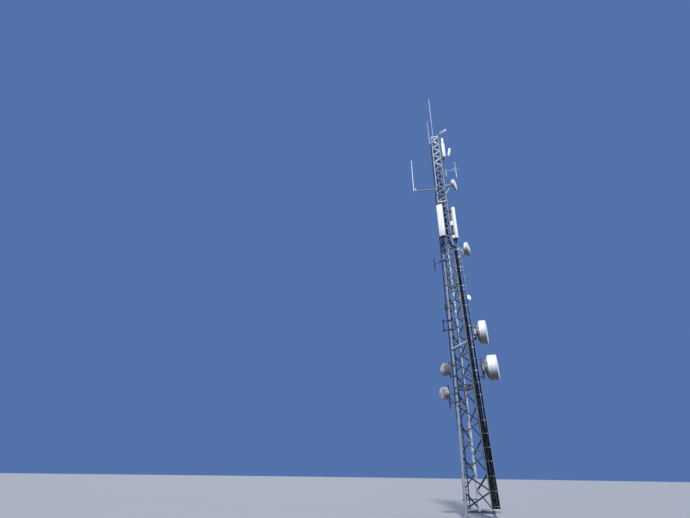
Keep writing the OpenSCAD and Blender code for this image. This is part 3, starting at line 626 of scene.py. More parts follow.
def joint_rust(p):
    """Rust gathers near the section joints and at the foot."""
    d = min([abs(p.z - z) for z in JZ[1:4]] + [abs(p.z - 60) * 0.7])
    return max(0.0, 0.5 - d / 260.0)


# ---------------------------------------------------------------- legs, feet, base
# painted light: the leg tones make the rear leg pale as if sunlit, the right leg dark as if shaded, and upper sections
# a little paler
LEG_PAINTED_LIGHT = [0.42, 0.30, 0.74]
for k, nm in enumerate(("left", "right", "rear")):
    pc = Piece()
    for i in range(4):
        a, b = joint_p(k, i), joint_p(k, i + 1)
        u = (b - a).normalized()
        t0 = 22.0 / u.z if i == 0 else 16.0
        a2, b2 = a + u * t0, b - u * (12.0 if i == 3 else 16.0)
        seg = 10
        tn = LEG_PAINTED_LIGHT[k] + (0.0, 0.02, 0.03, 0.08)[i] + rnd.uniform(-0.02, 0.02)

        def leg_painted_light(p, k=k, i=i, tn=tn, a=a, u=u):
            # painted shade: the rear leg is darkened along its left side in the mast's middle
            dx = p.x - (a + u * ((p.z - a.z) / u.z)).x
            q = min(1.0, max(0.0, (p.z - 3900) / 500), max(0.0, (9300 - p.z) / 500)) if k == 2 else 0.0
            q *= min(1.0, max(0.0, (-dx + LR[i] * 0.05) / (LR[i] * 0.3)))
            return tn * (1 - q) + 0.02 * q

        pc.tube([a2.lerp(b2, j / seg) for j in range(seg + 1)], LR[i], 24, leg_painted_light, joint_rust)
        if i:
            # flange pair with gasket line, ring of bolts and small ribs
            r = LR[i - 1] + 45
            c = joint_p(k, i)
            pc.lathe(c, Z, [(0, -18), (r - 2, -18), (r, -16), (r, -3), (r - 2, -1.5), (0, -1.5)], 32, 0.46, 0.5)
            pc.lathe(c, Z, [(0, -1.5), (r - 7, -1.5), (r - 7, 1.5), (0, 1.5)], 32, 0.1, 0.6)
            pc.lathe(c, Z, [(0, 1.5), (r - 2, 1.5), (r, 3), (r, 16), (r - 2, 18), (0, 18)], 32, 0.46, 0.5)
            for j in range(8):
                g = math.tau * (j + 0.5) / 8
                q = c + V(math.cos(g), math.sin(g), 0) * (r - 19)
                pc.bolt(q + Z * 18, Z, 14.0, 36.0, 0.55, 0.6)
            for j in range(4):
                g = math.tau * j / 4
                d = V(math.cos(g), math.sin(g), 0)
                for sg, rr in ((1, LR[i]), (-1, LR[i - 1])):
                    R = (d, Z * sg, d.cross(Z * sg))
                    pc.prism(c + Z * sg * 17, R, [(rr - 4, 0), (r - 34 if sg > 0 else r - 12, 0), (rr + 3, 75), (rr - 4, 75)], 6, 0.45, 0.3, -3)
            # weld beads
            pc.lathe(c + Z * 18, Z, [(LR[i] - 2, 0), (LR[i] + 6, 0), (LR[i] + 2, 6), (LR[i] - 2, 8)], 24, 0.45, 0.6)
            pc.lathe(c - Z * 18, -Z, [(LR[i - 1] - 2, 0), (LR[i - 1] + 6, 0), (LR[i - 1] + 2, 6), (LR[i - 1] - 2, 8)], 24, 0.45, 0.6)
    c = joint_p(k, 4)
    pc.lathe(c, Z, [(0, -12), (36, -12), (38, -10), (38, 2), (35, 4), (0, 4)], 24, 0.6, 0.2)
    pc.done("leg_tube_" + nm, "galvanised_steel", "leg_" + nm)

pc = Piece()
bolts = Piece()
for k in range(3):
    c = joint_p(k, 0)
    pc.cbox(c + Z * 10, (X, Y, Z), (340, 340, 20), 3, 0.42, 0.5)
    foot = c + Z * 20
    for g in (45, 135, 225, 315):
        d = V(math.cos(math.radians(g)), math.sin(math.radians(g)), 0)
        R = (d, Z, d.cross(Z))
        pc.prism(foot, R, [(LR[0] - 3, 0), (150, 0), (150, 25), (70, 190), (LR[0] - 3, 190)], 12, 0.42, 0.45, -6)
        for sg in (-1, 1):
            pc.rod(foot + d * (LR[0]) + d.cross(Z) * 8 * sg + Z * 4, foot + d * 148 + d.cross(Z) * 8 * sg + Z * 4, 5, 8, 0.4, 0.6)
    pc.lathe(foot, Z, [(LR[0] - 4, 0), (LR[0] + 9, 0), (LR[0] + 3, 8), (LR[0] - 4, 11)], 28, 0.4, 0.6)
    for sx in (-1, 1):
        for sy in (-1, 1):
            q = foot + V(sx * 120, sy * 120, 0)
            bolts.cbox(q + Z * 4, (X, Y, Z), (60, 60, 8), 1.5, 0.5, 0.7)
            bolts.hexa(q + Z * 8, Z, 41, 22, 0.5, 0.8)
            bolts.hexa(q + Z * 31, Z, 41, 15, 0.5, 0.8)
            bolts.rod(q - Z * 38, q + Z * 82, 13.5, 14, 0.45, 0.8)
pc.done("foot_plate_set", "galvanised_steel", "foot_plates")
bolts.done("anchor_studs", "galvanised_steel")


# ---------------------------------------------------------------- bracing
def angle_bar(pc, org, U, N, W, i, va, vb, tone):
    """Angle section between two legs: flange in the face, flange outward along its lower edge, gussets, bolts.
    org: face origin; U across, N up the face, W outward."""
    lv = len_of(i)
    sl = (vb - va) / side_at(JZ[i] + va)
    k_ = math.sqrt(1 + sl * sl)
    hw, tv, t = BW[i] / 2 * k_, BT[i] * k_, BT[i]

    def e(v):
        return JW[i] / 2 + (JW[i + 1] - JW[i]) / 2 * v / lv - LR[i] - 0.5

    def bar_rust(p):
        d = min((p - A).length, (p - B).length)
        head = 16700 < A.z < 19300
        return max((0.95 if tone < 0.45 else 0.5) if head else 0.0, (0.9 if head else 0.22) - d / 300.0)

    A = org + U * -e(va) + N * va
    B = org + U * e(vb) + N * vb
    R = (U, N, W)
    pc.prism(org, R, [(-e(va - hw), va - hw), (e(vb - hw), vb - hw), (e(vb + hw), vb + hw), (-e(va + hw), va + hw)], t, tone, bar_rust, -t / 2)
    pc.prism(org, R, [(1.5 - e(va - hw), va - hw), (e(vb - hw) - 1.5, vb - hw), (e(vb - hw + tv) - 1.5, vb - hw + tv), (1.5 - e(va - hw + tv), va - hw + tv)], BW[i] * 0.6 - t / 2, tone, bar_rust, t / 2)
    # gusset behind each end and two bolts through it
    d = (B - A).normalized()
    n2 = W.cross(d)
    for P, dd in ((A, d), (B, -d)):
        g = BW[i] * 1.5
        c = P + dd * (g / 2 - 6) - W * (t / 2 + t * 0.45)
        pc.cbox(c, (dd, n2, W), (g + 10, BW[i] * 1.15, t * 0.9), 1.2, 0.45, 0.4)
        for q in (0.55, 1.12):
            pc.bolt(P + dd * BW[i] * q + W * t / 2 + n2 * 2.5, W, BW[i] * 0.19, t * 1.9, 0.5, 0.5)


FACES = (("front", 0), ("right", 1), ("left", 2))
for nm, f in FACES:
    for part, secs in (("lower", (0, 1)), ("upper", (2, 3))):
        pc = Piece()
        for i in secs:
            tau, a = tau_of(i), math.radians(120 * f)
            org = rot2((0, -JW[i] / (2 * S3), JZ[i]), a)
            U = rot2((1, 0, 0), a)
            N = rot2((0, math.sin(tau), math.cos(tau)), a)
            W = U.cross(N)
            # painted light: front-face bars of the lower sections near black as painted shade, the head's front bars
            # pale as painted highlight, the other faces dark as painted shade
            base = ({0: 0.04, 1: 0.06, 2: 0.13, 3: 0.92} if f == 0 else {0: 0.01, 1: 0.02, 2: 0.03, 3: 0.12})[i]
            angle_bar(pc, org, U, N, W, i, tie0_of(i), tie0_of(i), base + rnd.uniform(-0.06, 0.08))
            angle_bar(pc, org, U, N, W, i, tie1_of(i), tie1_of(i), base + rnd.uniform(-0.06, 0.08))
            inset = BW[i] * 0.75
            for j in range(BAYS[i]):
                lo = run0_of(i) + step_of(i) * j + inset
                hi = run0_of(i) + step_of(i) * (j + 1) - inset
                va, vb = (lo, hi) if j % 2 == 0 else (hi, lo)
                shade = base + (rnd.uniform(-0.14, 0.18) * (1.0 if i == 2 else 0.5) if i < 3 else rnd.uniform(-0.42, 0.10))
                # bars in the head's lower half are darkened to half their tone: painted shade; they also carry rust
                head_low_shade = 0.50 if i == 3 and (org + N * (va + vb) / 2).z < 19150 else 1.0
                angle_bar(pc, org, U, N, W, i, va, vb, max(0.0, min(1.0, shade * head_low_shade)))
        pc.done("bracing_%s_%s" % (nm, part), "galvanised_steel", "%s_bracing_%s" % (nm, part))

# ---------------------------------------------------------------- climbing ladder
CZ0, CZ1, CD0, CD1, CW = 350.0, 21200.0, 560.0, 240.0, 380.0
ctau = math.atan((CD0 - CD1) / (CZ1 - CZ0))
clen = (CZ1 - CZ0) / math.cos(ctau)
a240 = math.radians(240)
CU = rot2((1, 0, 0), a240)
CN = rot2((0, math.sin(ctau), math.cos(ctau)), a240)
CO = CU.cross(CN)
corg = rot2((0, -CD0, CZ0), a240)
pc = Piece()
for sg in (-1, 1):
    c = corg + CU * sg * (CW / 2 + 6) + CN * clen / 2
    R = (CU, CO, CN)
    parts = 7
    for j in range(parts):
        z0, z1 = clen * j / parts, clen * (j + 1) / parts
        pc.cbox(corg + CU * sg * (CW / 2 + 6) + CN * ((z0 + z1) / 2), R, (12, 54, z1 - z0 - 3), 3, 0.5, 0.3)
        if j:
            # splice plate with four bolts
            q = corg + CU * sg * (CW / 2 + 6 - 9) + CN * z0
            pc.cbox(q, R, (6, 44, 260), 1.5, 0.45, 0.5)
            for s_ in (-90, -35, 35, 90):
                pc.bolt(q + CN * s_ + CU * sg * 15, CU * sg, 10, 20, 0.5, 0.5)
j = 0
while 120 + 300 * j <= clen - 80:
    z = 120 + 300 * j
    c = corg + CN * z
    pc.tube([c - CU * (CW / 2 + 14), c + CU * (CW / 2 + 14)], 15, 14, 0.5, 0.0)
    for sg in (-1, 1):
        pc.lathe(c + CU * sg * (CW / 2 + 12), CU * sg, [(12, 0), (17, 0), (14, 4), (12, 5)], 14, 0.5, 0.5)
    j += 1
# safety rail on the rungs, with a clip at every fourth rung
pc.cbox(corg + CN * clen / 2 + CO * 20, (CU, CO, CN), (22, 12, clen - 260), 2, 0.45, 0.2)
for q in range(0, j, 4):
    pc.cbox(corg + CN * (120 + 300 * q) + CO * 12, (CU, CO, CN), (54, 10, 40), 1.5, 0.5, 0.4)
# the ladder takes the near-black navy finish: painted shade
pc.done("climb_ladder", "dark_paint", "climbing_ladder")

pc = Piece()
CB = [level(0, 0), level(0, 2), level(0, 4), level(0, 6), level(1, 2), level(1, 4), level(1, 8), level(2, 1), level(2, 5), level(2, 9), level(3, 1), level(3, 6), level(3, 11), level(3, 14)]
fo = rot2((0, -1, 0), a240)
for z in CB:
    s_, r = side_at(z), LR[sec_of(z)]
    d = s_ / (2 * S3)
    dl = CD0 + (CD1 - CD0) * (z - CZ0) / (CZ1 - CZ0)
    # channel across both legs
    c = fo * (d + r + 10) + Z * z
    # channels and stand-offs near black: painted shade
    pc.cbox(c - fo * 1 + fo * 0, (CU, fo, Z), (s_ + 60, 6, 50), 1, 0.14, 0.2)
    for q in (-1, 1):
        pc.cbox(c + fo * 10 + Z * q * 22, (CU, fo, Z), (s_ + 60, 20, 6), 1, 0.14, 0.2)
    for k in (0, 2):
        pc.ubolt(leg_p(k, z), leg_p(k, z + 100) - leg_p(k, z), r, fo, False, 0.5, 0.5)
        pc.cbox(leg_p(k, z) + fo * (r + 3), (CU, fo, Z), (2 * r + 20, 10, 46), 2, 0.14, 0.2)
    for q in (-1, 1):
        y0, y1 = d + r + 16, dl + 20
        pc.cbox(CU * q * (CW / 2 + 16) + fo * (y0 + y1) / 2 + Z * z, (CU, fo, Z), (8, y1 - y0, 40), 1.5, 0.10, 0.2)
        pc.bolt(CU * q * (CW / 2 + 20) + fo * (dl + 2) + Z * z, CU * q, 11, 26, 0.5, 0.6)
        pc.bolt(CU * q * (CW / 2 + 20) + fo * (y0 + 18) + Z * (z + 8), CU * q, 10, 12, 0.5, 0.6)
pc.done("climb_ladder_brackets", "galvanised_steel", "climbing_ladder_brackets")

# ---------------------------------------------------------------- feeder ladder
FA, FB, FW = V(685, -480, 350), V(463, -292, 13050), 340.0
FD = (FB - FA).normalized()
FL = (FB - FA).length
frx = math.asin(-(FB.y - FA.y) / FL)
fry = math.atan2(FB.x - FA.x, FB.z - FA.z)
Mf = Matrix.Rotation(fry, 3, "Y") @ Matrix.Rotation(frx, 3, "X")
FX, FY, FZ = Mf @ X, Mf @ Y, Mf @ Z
RF = (FX, FY, FZ)


def feed_p(z):
    return FA + (FB - FA) * ((z - FA.z) / (FB.z - FA.z))


def feed_l(x, y, z):
    return FA + FX * x + FY * y + FZ * z


pc = Piece()
for sg in (-1, 1):
    x = sg * (FW / 2 - 5)
    n_ = 4
    for j in range(n_):
        z0, z1 = FL * j / n_, FL * (j + 1) / n_
        pc.cbox(feed_l(x, 0, (z0 + z1) / 2), RF, (8, 40, z1 - z0 - 2), 1.2, 0.42, 0.3)
        for q in (-1, 1):
            pc.cbox(feed_l(x - sg * 6, q * 17.5, (z0 + z1) / 2), RF, (12, 5, z1 - z0 - 2), 1, 0.42, 0.3)
        if j:
            pc.cbox(feed_l(x - sg * 5.5, 0, z0), RF, (4, 28, 240), 1, 0.5, 0.5)
            for w_ in (-80, -30, 30, 80):
                pc.bolt(feed_l(x + sg * 4, 0, z0 + w_), FX * sg, 9, 14, 0.6, 0.6)
for j in range(12):
    z = 165 + 1130 * j
    # pale rungs: painted highlight
    pc.cbox(feed_l(0, 9, z), RF, (FW - 14, 30, 30), 2, 0.95, 0.12)
    for sg in (-1, 1):
        pc.bolt(feed_l(sg * (FW / 2 - 1), 6, z), FX * sg, 10, 0, 0.6, 0.5)
pc.cbox(feed_l(FW / 2 + 48, 0, 10855), RF, (95, 30, 30), 2, 0.4, 0.4)
pc.done("feeder_rack", "galvanised_steel", "feeder_ladder")

pc = Piece()
for z in [level(0, 0), level(0, 3), level(0, 6), level(1, 3), level(1, 6), level(1, 9), level(2, 1), level(2, 3) + 70]:
    p, q = feed_p(z), leg_p(1, z)
    r = LR[sec_of(z)]
    x0, x1 = q.x - 25, p.x + FW / 2
    pc.cbox(V((x0 + x1) / 2, p.y + 25, z + 19), (X, Y, Z), (x1 - x0, 14, 6), 1, 0.75, 0.3)
    pc.cbox(V((x0 + x1) / 2, p.y + 29, z), (X, Y, Z), (x1 - x0, 5, 44), 1, 0.75, 0.3)
    y0, y1 = p.y + 20, q.y - r + 4
    pc.cbox(V(q.x, (y0 + y1) / 2, z), (X, Y, Z), (46, y1 - y0, 40), 2, 0.6, 0.3)
    pc.ubolt(q, leg_p(1, z + 100) - q, r, -Y, False, 0.6, 0.5)
    for xx in (p.x - FW / 2 + 5, p.x + FW / 2 - 5):
        pc.bolt(V(xx, p.y + 32, z), Y, 10, 0, 0.6, 0.5)
pc.done("feeder_rack_stand_offs", "galvanised_steel", "feeder_ladder_brackets")

CABLES = [(34, 14, 12950), (66, 14, 12950), (98, 14, 12950), (130, 14, 12950), (162, 14, 12950),
          (194, 16, 5600), (228, 16, 3700), (260, 14, 7500), (288, 14, 12200), (314, 12, 9700)]


def cable_p(c, z):
    return feed_p(z) + V(-FW / 2 + CABLES[c][0], -6.2 - CABLES[c][1], 0)


def unit(v):
    return v.normalized()


def smooth(p, k):
    """Smooth path through route points, the same curve as the CAD's."""
    def tang(i):
        if i == 0:
            return unit(p[1] - p[0])
        if i == len(p) - 1:
            return unit(p[i] - p[i - 1])
        return unit(unit(p[i + 1] - p[i]) + unit(p[i] - p[i - 1]))
    out = []
    for i in range(len(p) - 1):
        a, b, ta, tb = p[i], p[i + 1], tang(i), tang(i + 1)
        l = (b - a).length
        for s_ in range(1 if l > 700 else k):
            t = s_ / k
            out.append(a * (2 * t ** 3 - 3 * t * t + 1) + ta * l * (t ** 3 - 2 * t * t + t) + b * (3 * t * t - 2 * t ** 3) + tb * l * (t ** 3 - t * t))
    return out + [p[-1]]


pc = Piece()
ends = Piece()
for c, (off, r, top) in enumerate(CABLES):
    a, b = cable_p(c, 372), cable_p(c, top)
    n_ = max(8, int((b - a).length / 140))
    ph = rnd.uniform(0, 6.28)
    pts = []
    for i in range(n_ + 1):
        t = i / n_
        fade = min(1.0, t * 8, (1 - t) * 8)
        wx = 1.6 * math.sin(i * 0.9 + ph) + 1.2 * math.sin(i * 0.37 + ph * 2)
        wy = -abs(1.8 * math.sin(i * 0.6 + ph))
        pts.append(a.lerp(b, t) + V(wx, wy, 0) * fade)
    pc.tube(pts, {14: 15.2, 16: 16.4}.get(r, r) if c < 7 else r, 14, 0.5, 0.0)
    # plug and sleeve where the run joins its jumper, plug at the lower end
    ends.lathe(b - FD * 70, FD, [(r - 1, 0), (r + 3.5, 2), (r + 3.5, 50), (r + 1.5, 54), (r + 1.5, 96), (r - 1, 98)], 14, 0.12, 0.1)
    ends.lathe(a - FD * 2, FD, [(0, 0), (r * 0.6, 0), (r * 0.6, 6), (r + 3, 7), (r + 3, 46), (r - 1, 50)], 14, 0.9, 0.15)
pc.done("feeder_cable_run", "cable_jacket", "feeder_cables")
# hangers: a block on every cable at each rung and half way between
j = 0
for h in range(23):
    z = 165 + 565 * h
    if z > FL - 60:
        break
    zw = feed_l(0, 0, z).z
    for c, (off, r, top) in enumerate(CABLES):
        if zw > top - 40:
            continue
        p = cable_p(c, zw)
        ends.cbox(p + FY * 1, RF, (2 * r + 3, 2 * r + 8, 26), 3, 0.95 if c == 7 else 0.04, 0.05)
        ends.bolt(p - FY * (r + 4), -FY, 7, 0, 0.9 if c in (3, 7) else 0.1, 0.1)
    if h % 2:
        ends.cbox(feed_l(0, 3, z), RF, (FW - 22, 6, 26), 1, 0.25, 0.2)
ends.done("cable_hangers", "galvanised_steel")

# ---------------------------------------------------------------- inner ladder and cables
pc = Piece()
# rails, arms and blocks are near black: painted shade inside the mast
for x in (-24, 104):
    pc.cbox(V(x, 21, (13700 + 21300) / 2), (X, Y, Z), (10, 26, 7600), 1.5, 0.05, 0.1)
arms = [level(2, 6) + 100, level(2, 10), level(3, 0), level(3, 4), level(3, 8), level(3, 12), level(3, 15)]
for z in arms + [14500, 16000, 17250, 18500, 19700, 20800]:
    pc.cbox(V(40, 12, z), (X, Y, Z), (124, 22, 22), 1.5, 0.08, 0.2)
    for q, rr in ((12, 14), (40, 14), (68, 14), (90, 10)):
        if z > 14600:
            pc.cbox(V(q, -12, z), (X, Y, Z), (2 * rr - 4, 2 * rr + 4, 20), 3, 0.06, 0.1)
for z in arms:
    q = leg_p(2, z)
    pc.cbox(V(0, (20 + q.y - LR[sec_of(z)]) / 2, z), (X, Y, Z), (24, q.y - LR[sec_of(z)] - 18, 24), 1.5, 0.35, 0.3)
    pc.ubolt(q, leg_p(2, z + 100) - q, LR[sec_of(z)], -Y, True, 0.5, 0.5)
pc.done("inner_rack", "galvanised_steel", "mast_cable_ladder")

ARM_Z = 17400.0
SD_Z = level(1, 8) + 60
MAST_ROUTES = [
    [(60, -60, 13950), (12, -22, 14350), (12, -14.4, 14700), (12, -14.4, 20350), (0, -40, 20700), (-50, -105, 20960), (-95, -170, 21040), (-100, -185, 21090), (-100, -185, 21149.2)],
    [(85, -62, 13940), (40, -22, 14350), (40, -14.4, 14700), (40, -14.4, 18950), (60, -60, 19280), (105, -150, 19500), (190, -222, 19590), (310, -245, 19600), (425, -236, 19640), (450, -230, 19710), (450, -230, 19779.2)],
    [(110, -64, 13930), (68, -22, 14350), (68, -14.4, 14700), (68, -14.4, 16550), (85, -60, 16850), (120, -150, 17060), (190, -220, 17150), (330, -240, 17280), (470, -215, 17400), (560, -190, 17440)],
    [(140, -66, 13920), (92, -22, 14350), (92, -12.4, 14700), (80, -12.4, 16650), (20, -40, 16920), (-60, -120, 17040), (-150, -215, 17180), (-400, -210, 17320), (-1480, -190, 17425), (-1610, -165, 17440), (-1662, -140, 17500), (-1662, -140, ARM_Z + 109)]]
MAST_R = [14, 14, 14, 10]
pc = Piece()
for i in range(4):
    a = cable_p(i, CABLES[i][2])
    pts = [a + FD * 20, a + FD * 110, V(150 + 34 * i, -232, 13290), V(105 + 34 * i, -122, 13560)] + [V(p) for p in MAST_ROUTES[i]]
    pc.tube([a + FD * 0.1] + smooth(pts, 4), MAST_R[i] - 0.4, 12)
pc.done("inner_cables", "cable_jacket", "mast_cables")

JUMP_FROM = [4, 5, 6, 7, 8, 9]
JUMP_R = [12, 12, 9, 12, 10, 10]
JUMPS = [
    [(445, -330, 13200), (500, -235, 13400), (535, -110, 13520), (530, -10, 13600), (512, 45, 13700), (512, 45, 13779.2)],
    [(640, -462, 5730), (715, -475, 5790), (800, -465, 5830), (900, -420, 5880), (985, -365, 5960), (1000, -352, 6060), (1000, -352, 6139.7)],
    [(650, -487, 3790), (520, -489, 3835), (470, -489, 3848), (425, -460, 3862), (395, -385, 3890), (378, -318, 3930), (352, -284, 3952), (300, -281, 3985), (-300, -273.5, 4449), (-345, -292, 4495), (-400, -350, 4560), (-480, -372, 4640),
     (-600, -385, 4760), (-710, -385, 4870), (-790, -368, 4905), (-824, -352, 4950), (-833, -340, 4995), (-833, -340, 5045)],
    [(650, -432, 7620), (725, -448, 7700), (800, -430, 7760), (826, -385, 7840), (828, -370, 7900), (828, -370, 7959.7)],
    [(640, -352, 12320), (720, -330, 12400), (790, -245, 12450), (824, -165, 12490), (830, -148.4, 12560), (830, -148.4, 12633.6)],
    [(690, -400, 9780), (750, -370, 9840), (765, -250, 9860), (740, -140, 9860), (708, -80, 9890), (700, -73, 9950), (700, -73, SD_Z - 50.3)]]
pc = Piece()
for i, c in enumerate(JUMP_FROM):
    a = cable_p(c, CABLES[c][2])
    pts = [a + FD * 20, a + FD * 70] + [V(p) for p in JUMPS[i]]
    path = [a + FD * 0.1] + smooth(pts, 4)
    pc.tube(path, JUMP_R[i] - 0.3, 12)
    e, d = path[-1], (path[-1] - path[-2]).normalized()
    pc.lathe(e - d * 62, d, [(JUMP_R[i] - 1, 0), (JUMP_R[i] + 5, 3), (JUMP_R[i] + 5, 44), (JUMP_R[i] + 2, 48), (JUMP_R[i] + 2, 61), (JUMP_R[i] - 1, 61)], 14)
pc.done("jumper_cables", "cable_jacket", "antenna_jumpers")


# ---------------------------------------------------------------- mounting pipes
def pipe(pc, x, y, z0, z1, r, tone=0.45, rust=0.15):
    n_ = max(2, int((z1 - z0) / 300))
    pc.tube([V(x, y, z0 + (z1 - z0) * i / n_) for i in range(n_ + 1)], r, 24, tone, rust)
    for z, w in ((z0, -Z), (z1, Z)):
        pc.lathe(V(x, y, z) - w * 14, w, [(r - 1, 0), (r + 2, 0), (r + 2, 12), (r - 1, 15), (0, 16)][:5] if w is Z else [(r - 1, 0), (r + 1.5, 0), (r + 1.5, 11), (r - 2, 14), (0, 14)], 24, 0.15, 0.0)


def pipe_mount(pc, k, px, py, z0, z1, arm_z, r, tone=0.42, tube_r=20.0):
    pipe(pc, px, py, z0, z1, r, tone)
    for z in arm_z:
        q = leg_p(k, z)
        p = V(px, py, z)
        d = (q - p)
        d.z = 0
        d.normalize()
        lr = LR[sec_of(z)]
        a, b = p + d * (r + 6), q - d * (lr + 6)
        pc.tube([a.lerp(b, i / 3) for i in range(4)], tube_r, 18, tone, 0.2)
        sd = Z.cross(d)
        for c, rr in ((p, r), (q, lr)):
            s_ = 1 if c is p else -1
            w = Z if c is p else (leg_p(k, z + 100) - q)
            pc.clamp(c, w, rr, 84, sd, 9.0, tone, 0.35)
            pc.cbox(c + d * s_ * (rr + 11), (sd, d, Z), (2 * tube_r + 34, 8, 88), 1.5, tone, 0.3)
            for u_ in (-1, 1):
                for v_ in (-1, 1):
                    pc.bolt(c + d * s_ * (rr + 15) + sd * u_ * (tube_r + 9) + Z * v_ * 32, d * s_, 8, 0, 0.6, 0.5)
        # stiffener under the arm
        m_ = (a + b) / 2
        if (b - a).length > 160:
            pc.cbox(m_ - Z * (tube_r + 2), (d, sd, Z), ((b - a).length - 20, 6, 22), 1.5, tone, 0.3)


# whips -------------------------------------------------------------------
WX, WY = -100.0, -185.0
pc = Piece()
pc.tube([V(WX, WY, 21150 + 172 * i) for i in range(11)], 13, 16, 0.5)
top = MAST_H + 3500
pts = [22860 + (top - 60 - 22860) * i / 14 for i in range(15)]
pc.tube([V(WX, WY, z) for z in pts], [17.5 - 2 * i / 14 for i in range(15)], 16, 0.62)
pc.lathe(V(WX, WY, 22830), Z, [(12, 0), (21, 3), (21, 62), (16, 70)], 18, 0.2)
pc.lathe(V(WX, WY, top - 64), Z, [(13, 0), (15, 2), (15, 18), (9, 24), (8, 58), (0, 64)], 16, 0.3)
pc.lathe(V(WX, WY, 21150), Z, [(0, 0), (17, 0), (17, 90), (12, 96)], 16, 0.2)
for z in (level(3, 15), level(3, 16)):
    pc.cbox(V(-150, -205, z), (X, Y, Z), (110, 46, 40), 3, 0.35)
    pc.cbox(V(-222, -195, z), (X, Y, Z), (46, 72, 40), 3, 0.35)
    pc.ring(V(WX, WY, z), Z, 12, 24, 44, 20, 2, 0.3)
    for q in (-1, 1):
        pc.hexa(V(-120, -228, z + 10 * q), -Y, 14, 8, 0.3)
pc.done("whip_tall", "whip_fibreglass", "tall_whip")

pc = Piece()
pc.tube([V(-372, -150, 21130 + 64 * i) for i in range(11)], 19, 16, 0.5)
pc.tube([V(-372, -150, 21760 + 143 * i) for i in range(11)], [16 - 0.4 * i for i in range(11)], 16, 0.5)
pc.lathe(V(-372, -150, 21745), Z, [(12, 0), (22, 2), (22, 40), (15, 48)], 18, 0.25)
pc.lathe(V(-372, -150, 23180), Z, [(10, 0), (14, 3), (14, 22), (0, 30)], 16, 0.3)
pc.lathe(V(-372, -150, 21130), -Z, [(0, -6), (15, -6), (15, 0), (10, 2)], 14, 0.25)
for z in (level(3, 15), level(3, 16)):
    pc.cbox(V(-325, -142, z), (X, Y, Z), (130, 44, 36), 3, 0.35)
    pc.ring(V(-372, -150, z), Z, 18, 29, 42, 20, 2, 0.3)
    for q in (-1, 1):
        pc.hexa(V(-345, -164, z + 9 * q), -Y, 13, 8, 0.3)
pc.done("whip_short", "whip_fibreglass", "short_whip")

pc = Piece()
SX, SY = -1662.0, -140.0
# high tones: painted highlight on the side whip
pc.tube([V(SX, SY, ARM_Z + 110 + 44 * i) for i in range(11)], 27, 20, 0.8)
pc.tube([V(SX, SY, ARM_Z + 540 + 208 * i) for i in range(11)], [24 - 0.2 * i for i in range(11)], 20, 0.95)
pc.lathe(V(SX, SY, ARM_Z + 520), Z, [(20, 0), (28, 3), (28, 34), (22, 42)], 20, 0.3)
pc.lathe(V(SX, SY, ARM_Z + 2600), Z, [(20, 0), (24, 2), (24, 14), (18, 30), (0, 35)], 20, 0.35)
pc.done("whip_side", "whip_fibreglass", "side_whip")

GZ = level(3, 7) - 95
pc = Piece()
pc.tube([V(1036, -140, GZ - 620 + 80 * i) for i in range(11)], 20, 18, 0.8)
pc.tube([V(1036, -140, GZ + 175 + 47 * i) for i in range(11)], [16 - 0.3 * i for i in range(11)], 16, 0.5)
pc.lathe(V(1036, -140, GZ + 118), Z, [(18, 0), (34, 2), (34, 44), (26, 52), (22, 74), (14, 82)], 22, 0.35)
pc.lathe(V(1036, -140, GZ + 618), Z, [(12, 0), (16, 4), (14, 20), (0, 27)], 14, 0.4)
pc.lathe(V(1036, -140, GZ - 622), Z, [(0, 0), (16, 0), (22, 4), (22, 26), (17, 32)], 18, 0.35)
for a in (20, 110, 200, 290):
    d = rot2((1, 0, 0), math.radians(a))
    c = V(1036, -140, GZ + 150)
    pc.tube([c + d * 10, c + d * 60 - Z * 42, c + d * 215 - Z * 165], 12, 12, 0.85)
    pc.lathe(c + d * 215 - Z * 165, d * 215 - Z * 165, [(10, -8), (13, -6), (13, 4), (0, 8)], 12, 0.4)
pc.done("ground_plane_whip", "whip_fibreglass", "ground_plane_antenna")

# arms --------------------------------------------------------------------
pc = Piece()
a, b = V(-1560, -140, ARM_Z + 100), V(-330, -150, ARM_Z)
pc.tube([a.lerp(b, i / 8) for i in range(9)], 23, 20, 0.40, 0.15)
pc.lathe(a, a - b, [(22, -14), (26, -12), (26, 2), (0, 3)], 18, 0.2)
pipe(pc, -1530, -140, ARM_Z, ARM_Z + 330, 22, 0.8)
pipe(pc, -330, -150, level(3, 2) - 40, level(3, 3) + 40, 24, 0.4)
pc.clamp(V(-330, -150, ARM_Z), Z, 24, 70, Y, 9, 0.4, 0.3)
pc.clamp(V(-1530, -140, ARM_Z + 98), Z, 22, 60, Y, 8, 0.6, 0.3)
for z in (level(3, 2), level(3, 3)):
    q = leg_p(0, z)
    pc.rod(V(-330, -150, z), q, 17, 16, 0.4, 0.2)
    pc.clamp(q, Z, LR[3], 74, Y, 9, 0.4, 0.4)
    pc.clamp(V(-330, -150, z), Z, 24, 60, Y, 8, 0.4, 0.4)
for z in (ARM_Z + 183, ARM_Z + 263):
    pc.cbox(V(-1585, -140, z), (X, Y, Z), (110, 26, 24), 2, 0.7, 0.2)
    pc.ring(V(SX, SY, z), Z, 25.5, 34, 30, 22, 2, 0.7, 0.2)
    pc.ring(V(-1530, -140, z), Z, 21.5, 31, 34, 22, 2, 0.7, 0.2)
pc.done("arm_side", "galvanised_steel", "side_arm")

